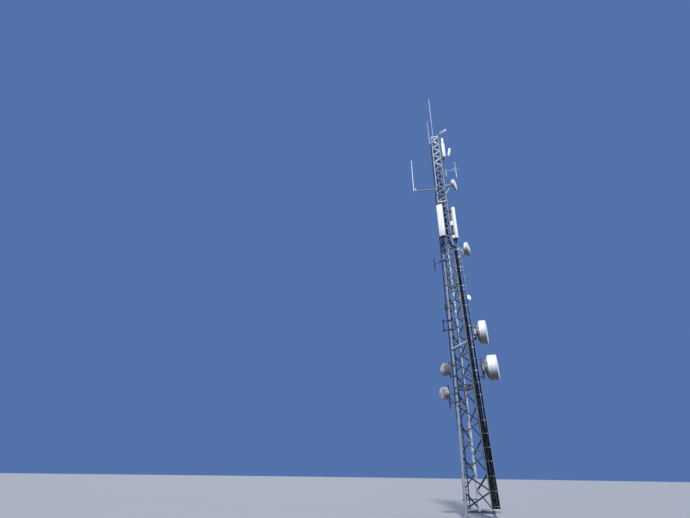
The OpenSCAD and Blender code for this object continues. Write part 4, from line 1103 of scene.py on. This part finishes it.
pc = Piece()
pc.rod(V(1022, -140, GZ), V(462, -140, GZ), 17, 18, 0.55, 0.15, 4)
pipe(pc, 440, -140, 18230, 18870, 20, 0.85)
for z in (level(3, 6) - 30, level(3, 7) + 20):
    q = leg_p(1, z)
    pc.rod(V(440, -140, z), q, 15, 16, 0.5, 0.2)
    pc.clamp(q, Z, LR[3], 70, Y, 9, 0.5, 0.4)
    pc.clamp(V(440, -140, z), Z, 20, 54, Y, 8, 0.6, 0.4)
pc.clamp(V(440, -140, GZ), Z, 20, 50, Y, 8, 0.7, 0.3)
pc.clamp(V(1036, -140, GZ), Z, 19, 50, Y, 8, 0.7, 0.3)
pc.done("arm_ground_plane", "galvanised_steel", "ground_plane_arm")

# yagi --------------------------------------------------------------------
pc = Piece()
a, b = V(330, -110, 21915), V(800, -110, 22180)
pc.tube([a.lerp(b, i / 6) for i in range(7)], 18, 18)
pc.lathe(a, a - b, [(17, -10), (20, -8), (20, 3), (0, 5)], 16)
pc.lathe(b, b - a, [(17, -10), (20, -8), (20, 3), (0, 5)], 16)
for j in range(5):
    t = 0.12 + j * 0.205
    c, h = a.lerp(b, t), 165 - 14 * j
    pc.tube([c + Y * (h - 2 * h * i / 4) for i in range(5)], 11.5, 14)
    pc.cbox(c, (unit(b - a), Y, unit(b - a).cross(Y)), (44, 40, 46), 4)
    for sg in (-1, 1):
        pc.lathe(c + Y * sg * h, Y * sg, [(10, -6), (13, -5), (13, 3), (0, 6)], 12)
# folded driven element and feed box
c = a.lerp(b, 0.325)
n_ = unit(b - a).cross(Y)
for sg in (-1, 1):
    pts = [c + n_ * 14 + Y * sg * 4] + [c + n_ * (14 + 18 - 18 * math.cos(g)) + Y * sg * (138 + 18 * math.sin(g)) for g in [math.pi * i / 6 for i in range(7)]] + [c + n_ * 50 + Y * sg * 4]
    pc.tube(pts, 6, 10)
pc.cbox(V(695, -110, 22110), (X, Y, Z), (110, 60, 70), 8)
pc.clamp(V(390, -110, 21952), Z, 24, 46, Y, 8)
pc.done("yagi", "antenna_aluminium", "yagi_antenna")


# panels ------------------------------------------------------------------
def turned(deg):
    a_ = math.radians(deg)
    return rot2((1, 0, 0), a_), rot2((0, 1, 0), a_), Z


pc = Piece()
R = turned(25)
o = V(450, -230, 19780)
radome(pc, o, R, 205, 120, 1118, 40, 2, edge=14)
for j in range(3):
    loft(pc, o, R, [(z, rrect(205, 120, 40, 6, -1.5)) for z in (250 + 300 * j, 262 + 300 * j)], 0.42)
pc.lathe(o + Z * 1116, Z, [(0, 0), (84, 0), (84, 16), (76, 20), (75, 430), (70, 446), (50, 454), (46, 474), (0, 478)], 36, 0.5)
pc.lathe(o + Z * 1540, Z, [(74, 0), (79, 2), (79, 12), (74, 14)], 36, 0.42)
# the end plate underneath is darker: painted shade
loft(pc, o, R, [(-2, rrect(150, 80, 24, 6)), (4, rrect(150, 80, 24, 6))], 0.3)
pc.done("panel_slim", "radome_white", "slim_panel")

pc = Piece()
# the pole is kept dark: painted shade
pipe(pc, 390, -110, 18920, 21950, 24, 0.10)
for z in (level(3, 8) + 10, level(3, 15)):
    q = leg_p(1, z)
    pc.rod(V(390, -110, z), q, 17, 16, 0.3, 0.2)
    pc.clamp(q, Z, LR[3], 74, Y, 9, 0.35, 0.4)
    pc.clamp(V(390, -110, z), Z, 24, 64, Y, 9, 0.35, 0.4)
for z in (19980, 20700):
    pc.rod(V(390, -110, z), V(422, -174, z), 14, 14, 0.25, 0.2)
    pc.clamp(V(390, -110, z), Z, 24, 60, R[0], 9, 0.25, 0.4)
    pc.cbox(V(423, -176, z), R, (90, 14, 90), 2, 0.25, 0.3)
# lower swing bracket, near black: painted shade
pc.cbox(V(415, -160, 19740), R, (60, 90, 22), 3, 0.02, 0.1)
pc.cbox(V(395, -120, 19700), R, (50, 60, 90), 3, 0.02, 0.1)
pc.done("pole_slim", "galvanised_steel", "slim_panel_mount")

pc = Piece()
tl = math.radians(12.5)
Mt = Matrix.Rotation(tl, 3, "Y") @ Matrix.Rotation(math.radians(40), 3, "Z")
R2 = (Mt @ X, Mt @ Y, Mt @ Z)
o2 = V(720, -110, 19890)
radome(pc, o2, R2, 150, 90, 618, 32, 1, edge=12)
for z in (60, 545):
    loft(pc, o2, R2, [(zz, rrect(150, 90, 32, 6, -1.5)) for zz in (z, z + 12)], 0.42)
pc.rod(V(414, -110, 20060), V(790, -110, 20118), 16, 16, 0.15, 0.2, 3)
pc.clamp(V(390, -110, 20056), Z, 24, 56, Y, 9, 0.15, 0.2)
pc.cbox(o2 + R2[2] * 205 + V(0, 48, 0), (X, Y, Z), (80, 24, 120), 3, 0.15, 0.2)
for q in (-1, 1):
    pc.lathe(o2 + R2[0] * 30 * q - R2[2] * 0, -R2[2], [(0, -4), (11, -4), (11, 16), (8, 18), (8, 26), (0, 26)], 12, 0.2)
pc.done("panel_small", "radome_white", "small_panel")

# shrouded dishes ---------------------------------------------------------
def drum(name, node, c, a, e, d, depth, clips=24, rust=0.0, tone=0.5, seam_at=20.0, shroud_low_shade=0.62, cone=0.36, dome=0.5, radome_low_shade=0.0, side_shade=0.0):
    """Reflector back with ribs, shroud with rolled rims, domed radome held by clips; the shroud and radome tones carry
    painted shade.
    """
    ax, ay, az = aim_axes(a, e)
    c = V(c)
    r = d / 2
    n_ = 72

    def grime(p):
        q = (p - c).normalized()
        return min(1.0, rust + max(0.0, -q.z) * 0.35)

    # painted shade: the shroud darkens towards its lower side, at the back cone and on its +ay side
    def shade(p):
        h = (p - c).dot(ax) / r
        back = max(0.0, -(p - c).dot(az) / (0.16 * d))
        return max(0.04, tone - max(0.0, h + 0.05) ** 1.3 * shroud_low_shade - back * cone - max(0.0, (p - c).dot(ay) / r) * side_shade * 0.8)

    pc = Piece()
    # one shell: hub, cone, rim roll, shroud, inner lip
    pc.lathe(c, az, [(0, -0.16 * d), (0.13 * d, -0.16 * d), (0.14 * d, -0.152 * d), (0.14 * d, -0.12 * d), (0.20 * d, -0.106 * d), (0.30 * d, -0.085 * d),
                     (0.37 * d, -0.055 * d), (0.44 * d, -0.02 * d), (r - 10, -2), (r - 4, -2), (r - 1, 2), (r, 8), (r - 1, 14), (r - 3, 18),
                     (r - 3, depth * 0.5 - 8), (r - 1, depth * 0.5 - 4), (r - 1, depth * 0.5 + 4), (r - 3, depth * 0.5 + 8), (r - 3, depth - 22), (r, depth - 18), (r, depth - 2), (r - 2, depth), (r - 10, depth + 1), (0, depth - 1)], n_, shade, grime, ref=ax)
    # radial ribs on the cone and a stiffening ring
    for j in range(12):
        g = math.tau * j / 12 + 0.13
        rd = ax * math.cos(g) + ay * math.sin(g)
        pc.prism(c, (rd, az, rd.cross(az)), [(0.13 * d, -0.155 * d), (0.15 * d, -0.15 * d), (0.32 * d, -0.105 * d), (0.455 * d, -0.026 * d), (0.44 * d, -0.01 * d), (0.14 * d, -0.10 * d)], 5, shade, grime, -2.5)
    pc.lathe(c, az, [(0.295 * d, -0.10 * d), (0.31 * d, -0.10 * d), (0.31 * d, -0.075 * d), (0.295 * d, -0.075 * d)], n_, shade, grime, ref=ax)
    # seam strap along the shroud
    g = math.radians(seam_at)
    rd = ax * math.cos(g) + ay * math.sin(g)
    pc.cbox(c + rd * (r - 2) + az * depth / 2, (rd.cross(az), rd, az), (38, 5, depth - 44), 1.5, tone, 0.3)
    for j in range(5):
        pc.lathe(c + rd * r + az * (depth * (j + 1) / 6), rd, [(0, 0), (6, 0), (4, 3), (0, 4)], 8, tone, 0.3)
    body = pc.done(name, "dish_shroud_paint", node)
    # radome
    pr = Piece()
    prof = [(r - 4, depth - 4), (r - 2, depth + 1), (r - 6, depth + 5)] + [((r - 6) * math.cos(t_), depth + 5 + (0.036 * d - 5) * math.sin(t_)) for t_ in [math.pi / 2 * i / 8 for i in range(1, 8)]] + [(0, depth + 0.036 * d), (0, depth - 4)]
    prof = [(q[0], q[1]) for q in prof]
    # painted shade: the radome darkens towards its lower side and on its +ay side
    pr.lathe(c, az, prof, n_, lambda p: max(0.05, dome - max(0.0, (p - c).dot(ax) / r + 0.1) * radome_low_shade - max(0.0, (p - c).dot(ay) / r) * side_shade), lambda p: rust * 0.9, ref=ax)
    pr.done(name + "_radome", "radome_white")
    # clips, hub bolts and back plate
    ph = Piece()
    for j in range(clips):
        g = math.tau * (j + 0.5) / clips
        rd = ax * math.cos(g) + ay * math.sin(g)
        ph.cbox(c + rd * (r - 1) + az * (depth - 12), (rd.cross(az), rd, az), (22, 7, 34), 1.5, 0.6, 0.35)
        ph.hexa(c + rd * (r + 2) + az * (depth - 20), rd, 9, 4, 0.6, 0.5)
    for j in range(8):
        g = math.tau * (j + 0.5) / 8
        rd = ax * math.cos(g) + ay * math.sin(g)
        ph.bolt(c + rd * 0.112 * d - az * 0.16 * d, -az, 0.011 * d, 0, 0.6, 0.5)
    ph.lathe(c - az * 0.16 * d, -az, [(0, -2), (0.085 * d, -2), (0.085 * d, 10), (0.07 * d, 14), (0, 14)], 28, 0.4, 0.5)
    ph.done(name + "_hardware", "galvanised_steel")


DU, DL, DA = V(1082, -160, 8080), V(1240, -170, 6300), -6.0
drum("drum_upper_body", "drum_upper", DU, DA, 0, 1200, 304, 28, 0.05)
drum("drum_lower_body", "drum_lower", DL, DA, 0, 1200, 400, 28, 0.05)
# the left dishes start from low tones and strong shade terms: painted shade
drum("drum_left_upper_body", "left_drum_upper", (-735, -385, 6260), 215, 0, 600, 190, 18, 1.0, 0.30, shroud_low_shade=0.6, dome=0.47, radome_low_shade=0.52, side_shade=0.46)
drum("drum_left_lower_body", "left_drum_lower", (-905, -385, 5130), 212, 0, 600, 190, 18, 1.0, 0.34, shroud_low_shade=0.4, dome=0.48, radome_low_shade=0.30, side_shade=0.22)
drum("dish_upper_body", "upper_dish", (770, -145, 17500), -18, 2, 700, 110, 18, 0.0, shroud_low_shade=0.8, cone=0.45, radome_low_shade=0.15)
drum("dish_mid_body", "mid_dish", (975, -190, 12900), -16, 2, 800, 130, 20, 0.0, shroud_low_shade=1.1, cone=0.45, radome_low_shade=0.7)


def finned(pc, c, size, fins_dir, tone=0.5, rust=0.1):
    """Radio box: chamfered case with cooling fins and a gasket line."""
    sx, sy, sz = size
    pc.cbox(c, (X, Y, Z), (sx, sy * 0.62, sz), 6, tone, rust)
    pc.cbox(V(c) + Y * fins_dir * sy * -0.02, (X, Y, Z), (sx + 3, 5, sz + 3), 1.5, tone * 0.6, rust)
    n_ = max(5, int(sx / 14))
    for j in range(n_):
        x_ = -sx / 2 + sx * (j + 0.5) / n_
        pc.cbox(V(c) + X * x_ + Y * fins_dir * sy * 0.36, (X, Y, Z), (3.5, sy * 0.28, sz - 16), 0.8, tone, rust)
    for q in (-1, 1):
        pc.lathe(V(c) + X * q * sx * 0.25 - Z * sz / 2, -Z, [(0, -3), (11, -3), (11, 5), (8, 7), (8, 15), (0, 15)], 12, tone * 0.5, rust)


pc = Piece()
finned(pc, V(828, -340.2, 8090), (88, 120, 258), -1, 0.42, 0.2)
finned(pc, V(981, -350.2, 6300), (94, 120, 318), -1, 0.25, 0.2)
pc.done("drum_radio_boxes", "radio_paint", "drum_radios")

# mounts of the dishes ----------------------------------------------------
pc = Piece()
pipe_mount(pc, 1, 800, -190, 7720, 8560, [level(1, 4) - 60, level(1, 5) - 30], 57, 0.30)
z0 = level(1, 3) - 100
for sg in (-1, 1):
    pc.cbox(V(868, -195, 8080 + sg * 92), (X, Y, Z), (64, 168, 14), 2, 0.45, 0.3)
pc.cbox(V(862, -195, 8080), (X, Y, Z), (18, 168, 190), 2, 0.45, 0.3)
pc.lathe(DU - V(math.cos(math.radians(DA)), math.sin(math.radians(DA)), 0) * 192, V(-1, 0.1, 0), [(0, -4), (120, -4), (120, 12), (90, 16), (88, 40), (0, 40)], 32, 0.45, 0.3)
for z in (7990, 8170):
    pc.ubolt(V(800, -190, z), Z, 57, X, True, 0.5, 0.4)
pc.rod(V(-372, -322, z0), V(800, -322, 7860), 19, 18, 0.8, 0.1, 8)
for x, z in ((-385, z0), (800, 7860)):
    pc.cbox(V(x, -290, z), (X, Y, Z), (48, 110, 54), 3, 0.55, 0.3)
    pc.bolt(V(x, -346, z), -Y, 14, 0, 0.6, 0.5)
pc.ubolt(leg_p(0, z0), Z, LR[1], -Y, True, 0.5, 0.5)
pc.done("drum_pole_upper", "galvanised_steel", "drum_upper_mount")

pc = Piece()
pipe_mount(pc, 1, 930, -205, 5790, 6790, [level(1, 0) + 50, level(1, 1) + 90], 57, 0.16)
for sg in (-1, 1):
    pc.cbox(V(1000, -205, 6300 + sg * 92), (X, Y, Z), (70, 168, 14), 2, 0.3, 0.3)
pc.cbox(V(994, -205, 6300), (X, Y, Z), (18, 168, 190), 2, 0.3, 0.3)
pc.lathe(DL - V(math.cos(math.radians(DA)), math.sin(math.radians(DA)), 0) * 192, V(-1, 0.1, 0), [(0, -4), (120, -4), (120, 12), (90, 16), (88, 34), (0, 34)], 32, 0.3, 0.3)
for z in (6210, 6390):
    pc.ubolt(V(930, -205, z), Z, 57, X, True, 0.5, 0.4)
pc.done("drum_pole_lower", "galvanised_steel", "drum_lower_mount")

pc = Piece()
# near-black tones on these mounts: painted shade
pipe_mount(pc, 0, -600, -290, 5880, 6640, [level(1, 0) + 105, level(1, 1) + 105], 38, 0.05)
pipe_mount(pc, 0, -768, -300, 4470, 5560, [level(0, 6) - 190, level(0, 6) + 200], 38, 0.05)
for c, a_, o_ in ((V(-735, -385, 6260), 215, V(-600, -290, 6260)), (V(-905, -385, 5130), 212, V(-768, -300, 5130))):
    n_ = V(math.cos(math.radians(a_)), math.sin(math.radians(a_)), 0)
    hub = c - n_ * 96
    pc.lathe(hub, -n_, [(0, -3), (70, -3), (70, 10), (52, 14), (50, 30), (0, 30)], 26, 0.25, 0.4)
    pc.cbox((hub - n_ * 26 + o_) / 2, (n_, Z.cross(n_), Z), ((hub - o_).length - 10, 70, 96), 4, 0.06, 0.2)
    for q in (-34, 34):
        pc.ubolt(o_ + Z * q, Z, 38, n_, True, 0.4, 0.5)
    # steering stay
    pc.rod(c - n_ * 60 + Z * 150, o_ + Z * 190, 9, 10, 0.4, 0.4)
pc.done("drum_poles_left", "galvanised_steel", "left_drum_mounts")

pc = Piece()
hub = V(552, -136, 17470)
za, zb = level(3, 1) - 30, level(3, 3) + 25
pipe(pc, hub.x, hub.y, hub.z - 190, hub.z + 190, 30, 0.55)
for z, zt in ((za, hub.z - 60), (zb, hub.z + 110)):
    q = leg_p(1, z)
    pc.rod(q, V(hub.x, hub.y, zt), 21, 18, 0.75, 0.15, 3)
    pc.clamp(q, Z, LR[3], 74, Y, 9, 0.5, 0.4)
    pc.clamp(V(hub.x, hub.y, zt), Z, 30, 60, Y, 9, 0.5, 0.3)
uc, un = V(770, -145, 17500), aim_axes(-18, 2)[2]
pc.rod(V(hub.x, hub.y, hub.z + 20), uc - un * 112, 28, 20, 0.4, 0.2, 2)
pc.lathe(uc - un * 112, -un, [(0, -3), (80, -3), (80, 12), (60, 16), (56, 40), (0, 40)], 28, 0.35, 0.3)
pc.clamp(V(hub.x, hub.y, hub.z + 20), Z, 30, 76, Y, 10, 0.4, 0.3)
pc.done("dish_upper_stand", "galvanised_steel", "upper_dish_mount")

pc = Piece()
pipe_mount(pc, 1, 600, -170, 12120, 13180, [level(2, 3) - 60, level(2, 4) + 60], 30, 0.5)
mc, mn = V(975, -190, 12900), aim_axes(-16, 2)[2]
pc.rod(V(600, -170, 12900), mc - mn * 128, 30, 20, 0.7, 0.2, 3)
pc.lathe(mc - mn * 128, -mn, [(0, -3), (92, -3), (92, 12), (70, 16), (64, 44), (0, 44)], 28, 0.6, 0.3)
pc.clamp(V(600, -170, 12900), Z, 30, 90, Y, 10, 0.6, 0.3)
pc.rod(V(600, -170, 12980), mc - mn * 40 + Z * 170, 10, 10, 0.6, 0.3)
pc.done("dish_mid_pole", "galvanised_steel", "mid_dish_mount")
# its radio box
pr = Piece()
mx, my, mz = aim_axes(-16, 2)
bc = mc + mx * 160 - mz * 160
pr.cbox(bc, (mx, my, mz), (198, 138, 54), 6, 0.5, 0.1)
for j in range(9):
    pr.cbox(bc - mz * 26 + my * (-60 + 15 * j), (mx, my, mz), (180, 3.5, 10), 0.8, 0.5, 0.1)
pr.done("dish_mid_radio", "radio_paint")

# sector panels -----------------------------------------------------------
SEC_Z, SH, SW, SD = 13800.0, 2150.0, 340.0, 185.0


def sector(name, node, p, a):
    R_ = turned(a + 90)
    o_ = V(p[0], p[1], SEC_Z)
    pc = Piece()
    radome(pc, o_, R_, SW, SD, SH, 50, 0, 0.5, lambda q: 0.25 if q.z < SEC_Z + 140 else 0.02, edge=16)
    # cap seams at both ends, side joint rails
    for z in (46, SH - 58):
        loft(pc, o_, R_, [(zz, rrect(SW, SD, 50, 6, -1.6)) for zz in (z, z + 12)], 0.44)
    for sg in (-1, 1):
        pc.cbox(o_ + R_[0] * sg * (SW / 2 - 0.5) + R_[1] * 46 + Z * SH / 2, R_, (7, 10, SH - 130), 2, 0.42, 0.05)
    # the cap plate underneath is near black: painted shade
    loft(pc, o_, R_, [(-20, rrect(SW - 30, SD - 30, 38, 6, 0)), (-18, rrect(SW - 24, SD - 24, 40, 6, 0)), (4, rrect(SW - 24, SD - 24, 40, 6, 0))], 0.0, 0.0)
    pc.done(name, "radome_white", node)
    # back channel, ports and jumper sockets
    ph = Piece()
    for q in range(6):
        c_ = o_ + R_[0] * (-110 + 44 * q) + R_[1] * (20 if q % 2 else -24) - Z * 20
        ph.lathe(c_, -Z, [(0, -3), (15, -3), (15, 8), (11, 10), (11, 24), (0, 24)], 14, 0.05, 0.1)
    back = R_[1]
    for z in (360, SH - 220):
        c_ = o_ + back * (SD / 2 + 6) + Z * z
        ph.cbox(c_, R_, (210, 14, 84), 2, 0.45, 0.3)
        for u_ in (-1, 1):
            for v_ in (-1, 1):
                ph.bolt(c_ + R_[0] * u_ * 84 + Z * v_ * 26 + back * 7, back, 11, 0, 0.6, 0.5)
    ph.done(name + "_fittings", "galvanised_steel")


sector("sector_left", "sector_panel_left", (-215, -470), -102)
sector("sector_right", "sector_panel_right", (512, 50), 30)


def sector_pole(name, node, k, p, a, painted_shade):
    ra = math.radians(a)
    n_ = V(math.cos(ra), math.sin(ra), 0)
    px, py = p[0] - n_.x * 175, p[1] - n_.y * 175
    pc = Piece()
    pipe_mount(pc, k, px, py, SEC_Z + 60, SEC_Z + SH + 60, [level(2, 7), level(2, 11)], 30, painted_shade)
    sd = Z.cross(n_)
    for z in (SEC_Z + 360, SEC_Z + SH - 220):
        c_ = V(px, py, z)
        pc.clamp(c_, Z, 30, 80, sd, 10, painted_shade, 0.35)
        for sg in (-1, 1):
            pc.cbox(c_ + n_ * 60 + sd * sg * 30, (n_, sd, Z), (70, 8, 50), 1.5, painted_shade, 0.3)
        pc.bolt(c_ + n_ * 62 + sd * 34, sd, 12, 68, 0.6, 0.5)
    # scissor tilt links at the top bracket
    c_ = V(px, py, SEC_Z + SH - 220)
    for sg in (-1, 1):
        pc.cbox(c_ + n_ * 52 + sd * sg * 40 + Z * 55, (unit(n_ + Z * 0.9), sd, unit(Z - n_ * 0.9)), (120, 6, 30), 1.5, painted_shade, 0.3)
    pc.done(name, "galvanised_steel", node)


# the poles behind the panels are near black: painted shade
sector_pole("sector_pole_left", "sector_mount_left", 0, (-215, -470), -102, 0.08)
sector_pole("sector_pole_right", "sector_mount_right", 1, (512, 50), 30, 0.04)

px, py = 512 - math.cos(math.radians(30)) * 175, 50 - math.sin(math.radians(30)) * 175
pc = Piece()
finned(pc, V(px + 25, py - 85.2, 14800), (150, 110, 280), 1, 0.5, 0.02)
finned(pc, V(px + 35, py - 90.2, 13881), (130, 120, 182), 1, 0.5, 0.02)
for z, x_ in ((14800, px + 10), (13900, px + 10)):
    pc.cbox(V(x_, py - 38, z), (X, Y, Z), (80, 18, 120), 2, 0.3, 0.2)
pc.done("remote_radios", "radio_paint", "radio_unit")

# tails under the left sector to a splitter on the leg, and from the right one to its radio
pc = Piece()
Rl, Rr = turned(-102 + 90), turned(30 + 90)
sb = leg_p(0, 13060)
bx = V(sb.x - 20, sb.y - LR[2] - 62, 13060)
for q in range(6):
    o_ = V(-215, -470, SEC_Z) + Rl[0] * (-110 + 44 * q) + Rl[1] * (20 if q % 2 else -24)
    e = bx + X * (-45 + 18 * q) + Z * 136
    pts = [o_ - Z * 40, o_ - Z * 110, o_.lerp(e, 0.35) - Z * (90 + 12 * q), e + Z * (150 + 8 * q), e + Z * 60, e]
    pc.tube(smooth([V(p) for p in pts], 5), 8, 10)
    pc.lathe(o_ - Z * 40, -Z, [(0, -6), (13, -6), (13, 46), (9, 54)][:4] + [(0, 54)], 12)
    pc.lathe(e - Z * 8, Z, [(0, 0), (11, 0), (11, 34), (8, 40), (0, 40)], 12)
rb = V(px + 35, py - 90.2, 13790)
for q in range(4):
    o_ = V(512, 50, SEC_Z) + Rr[0] * (-110 + 44 * q) + Rr[1] * (20 if q % 2 else -24)
    e = rb + X * (-42 + 28 * q)
    pts = [o_ - Z * 40, o_ - Z * (150 + 30 * q), o_.lerp(e, 0.5) - Z * (250 + 30 * q), e - Z * (120 + 20 * q), e - Z * 14]
    pc.tube(smooth([V(p) for p in pts], 6), 8, 10)
    pc.lathe(o_ - Z * 40, -Z, [(0, -6), (13, -6), (13, 46), (9, 54), (0, 54)], 12)
    pc.lathe(e + Z * 1, -Z, [(0, 0), (12, 0), (12, 30), (9, 38), (0, 38)], 12)
pc.done("sector_tails", "cable_jacket")
pc = Piece()
pc.cbox(bx, (X, Y, Z), (130, 92, 256), 8, 0.5, 0.0)
pc.cbox(bx - Y * 47, (X, Y, Z), (118, 6, 240), 2, 0.4, 0.0)
for q in (-80, 80):
    pc.cbox(bx + V(16, 52, q), (X, Y, Z), (70, 26, 34), 2, 0.5, 0.0)
    pc.clamp(leg_p(0, 13060 + q), leg_p(0, 13160) - leg_p(0, 13060), LR[2], 50, X, 8, 0.5, 0.0)
pc.done("splitter_box", "dark_paint")
# dipole, small dish, box, spare pole ------------------------------------
DZ = level(2, 3) - 60
pc = Piece()
pc.tube([V(-845, -160, 11812 + 80.5 * i) for i in range(11)], 30, 22, 0.5, 0.15)
for z, w in ((11812, -Z), (12617, Z)):
    pc.lathe(V(-845, -160, z), w, [(29, -16), (33, -14), (33, 4), (26, 12), (0, 12)], 22, 0.5, 0.1)
for z in (12000, 12420):
    pc.ring(V(-845, -160, z), Z, 29, 35, 26, 24, 2, 0.5, 0.2)
pc.rod(V(-845, -160, DZ - 170), V(-505, -160, DZ - 20), 18, 18, 0.5, 0.2, 3)
pc.rod(V(-520, -160, DZ), leg_p(0, DZ), 24, 18, 0.5, 0.2)
pc.clamp(V(-845, -160, DZ - 170), Z, 30, 70, Y, 10, 0.5, 0.3)
pc.clamp(V(-510, -160, DZ), V(0.9, 0, 0.2), 24, 90, Y, 12, 0.5, 0.3)
pc.clamp(leg_p(0, DZ), Z, LR[2], 90, Y, 12, 0.5, 0.4)
# the dipole takes the near-black navy finish: painted shade
pc.done("dipole", "dark_paint", "dipole_antenna")

pc = Piece()
sx_, sy_, sn = aim_axes(-42, 0)
sc = V(750, -120, SD_Z)
pc.lathe(sc, sn, [(0, -90), (46, -90), (50, -86), (50, -52), (80, -34), (138, -11), (148, -3), (151, 2), (151, 38), (147, 42), (120, 47), (90, 51), (40, 55), (0, 56)], 48, 0.5, 0.05)
for j in range(10):
    g = math.tau * j / 10
    rd = sx_ * math.cos(g) + sy_ * math.sin(g)
    pc.cbox(sc + rd * 149 + sn * 30, (rd.cross(sn), rd, sn), (16, 7, 22), 1.5, 0.4, 0.2)
pc.rod(leg_p(1, SD_Z) + X * 30, V(690, -66, SD_Z), 17, 18, 0.35, 0.2, 3)
pc.clamp(leg_p(1, SD_Z), Z, LR[1], 90, Y, 12, 0.35, 0.3)
pc.cbox(V(684, -60, SD_Z), (sn, Z.cross(sn), Z), (40, 60, 90), 4, 0.3, 0.2)
pc.done("dish_small", "radome_white", "small_dish")

pc = Piece()
pc.cbox(V(-462.5, -245, 9590), (X, Y, Z), (165, 108, 298), 8, 0.5, 0.15)
pc.cbox(V(-462.5, -303, 9590), (X, Y, Z), (157, 8, 288), 3, 0.45, 0.1)
for z in (9490, 9690):
    pc.rod(V(-540, -302, z - 16), V(-540, -302, z + 16), 6, 10, 0.5, 0.4)
pc.cbox(V(-395, -310, 9590), (X, Y, Z), (14, 10, 50), 2, 0.3, 0.4)
for q in (-50, 0, 50):
    pc.lathe(V(-462.5 + q, -245, 9441), -Z, [(0, -3), (14, -3), (14, 8), (10, 12), (10, 30), (0, 30)], 14, 0.5, 0.1)
for z in (9470, 9555):
    pc.cbox(V(-366, -210, z), (X, Y, Z), (72, 38, 38), 2, 0.5, 0.3)
    pc.ubolt(leg_p(0, z), Z, LR[1], -X, False, 0.5, 0.4)
pc.done("control_box", "dark_paint", "junction_box")

pc = Piece()
pipe_mount(pc, 0, -695, -210, 8230, 8900, [level(1, 5) - 110, level(1, 6) - 120], 28, 0.5)
pc.done("spare_pole", "dark_paint", "spare_mount")

# carried-over node -------------------------------------------------------
for nm_ in ("base_frame",):
    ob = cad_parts[nm_]
    ob.data.materials.clear()
    ob.data.materials.append(make_steel("base_steel", False))

# floor -------------------------------------------------------------------
me = bpy.data.meshes.new("floor")
RF_ = 400.0
me.from_pydata([(RF_ * math.cos(math.tau * k / 64), RF_ * math.sin(math.tau * k / 64), 0.0) for k in range(64)], [], [list(range(64))])
floor = bpy.data.objects.new("floor", me)
scene.collection.objects.link(floor)
fm = bpy.data.materials.new("floor")
fm.use_nodes = True
fm.node_tree.nodes["Principled BSDF"].inputs["Base Color"].default_value = (0.30, 0.315, 0.33, 1)
fm.node_tree.nodes["Principled BSDF"].inputs["Roughness"].default_value = 0.95
me.materials.append(fm)
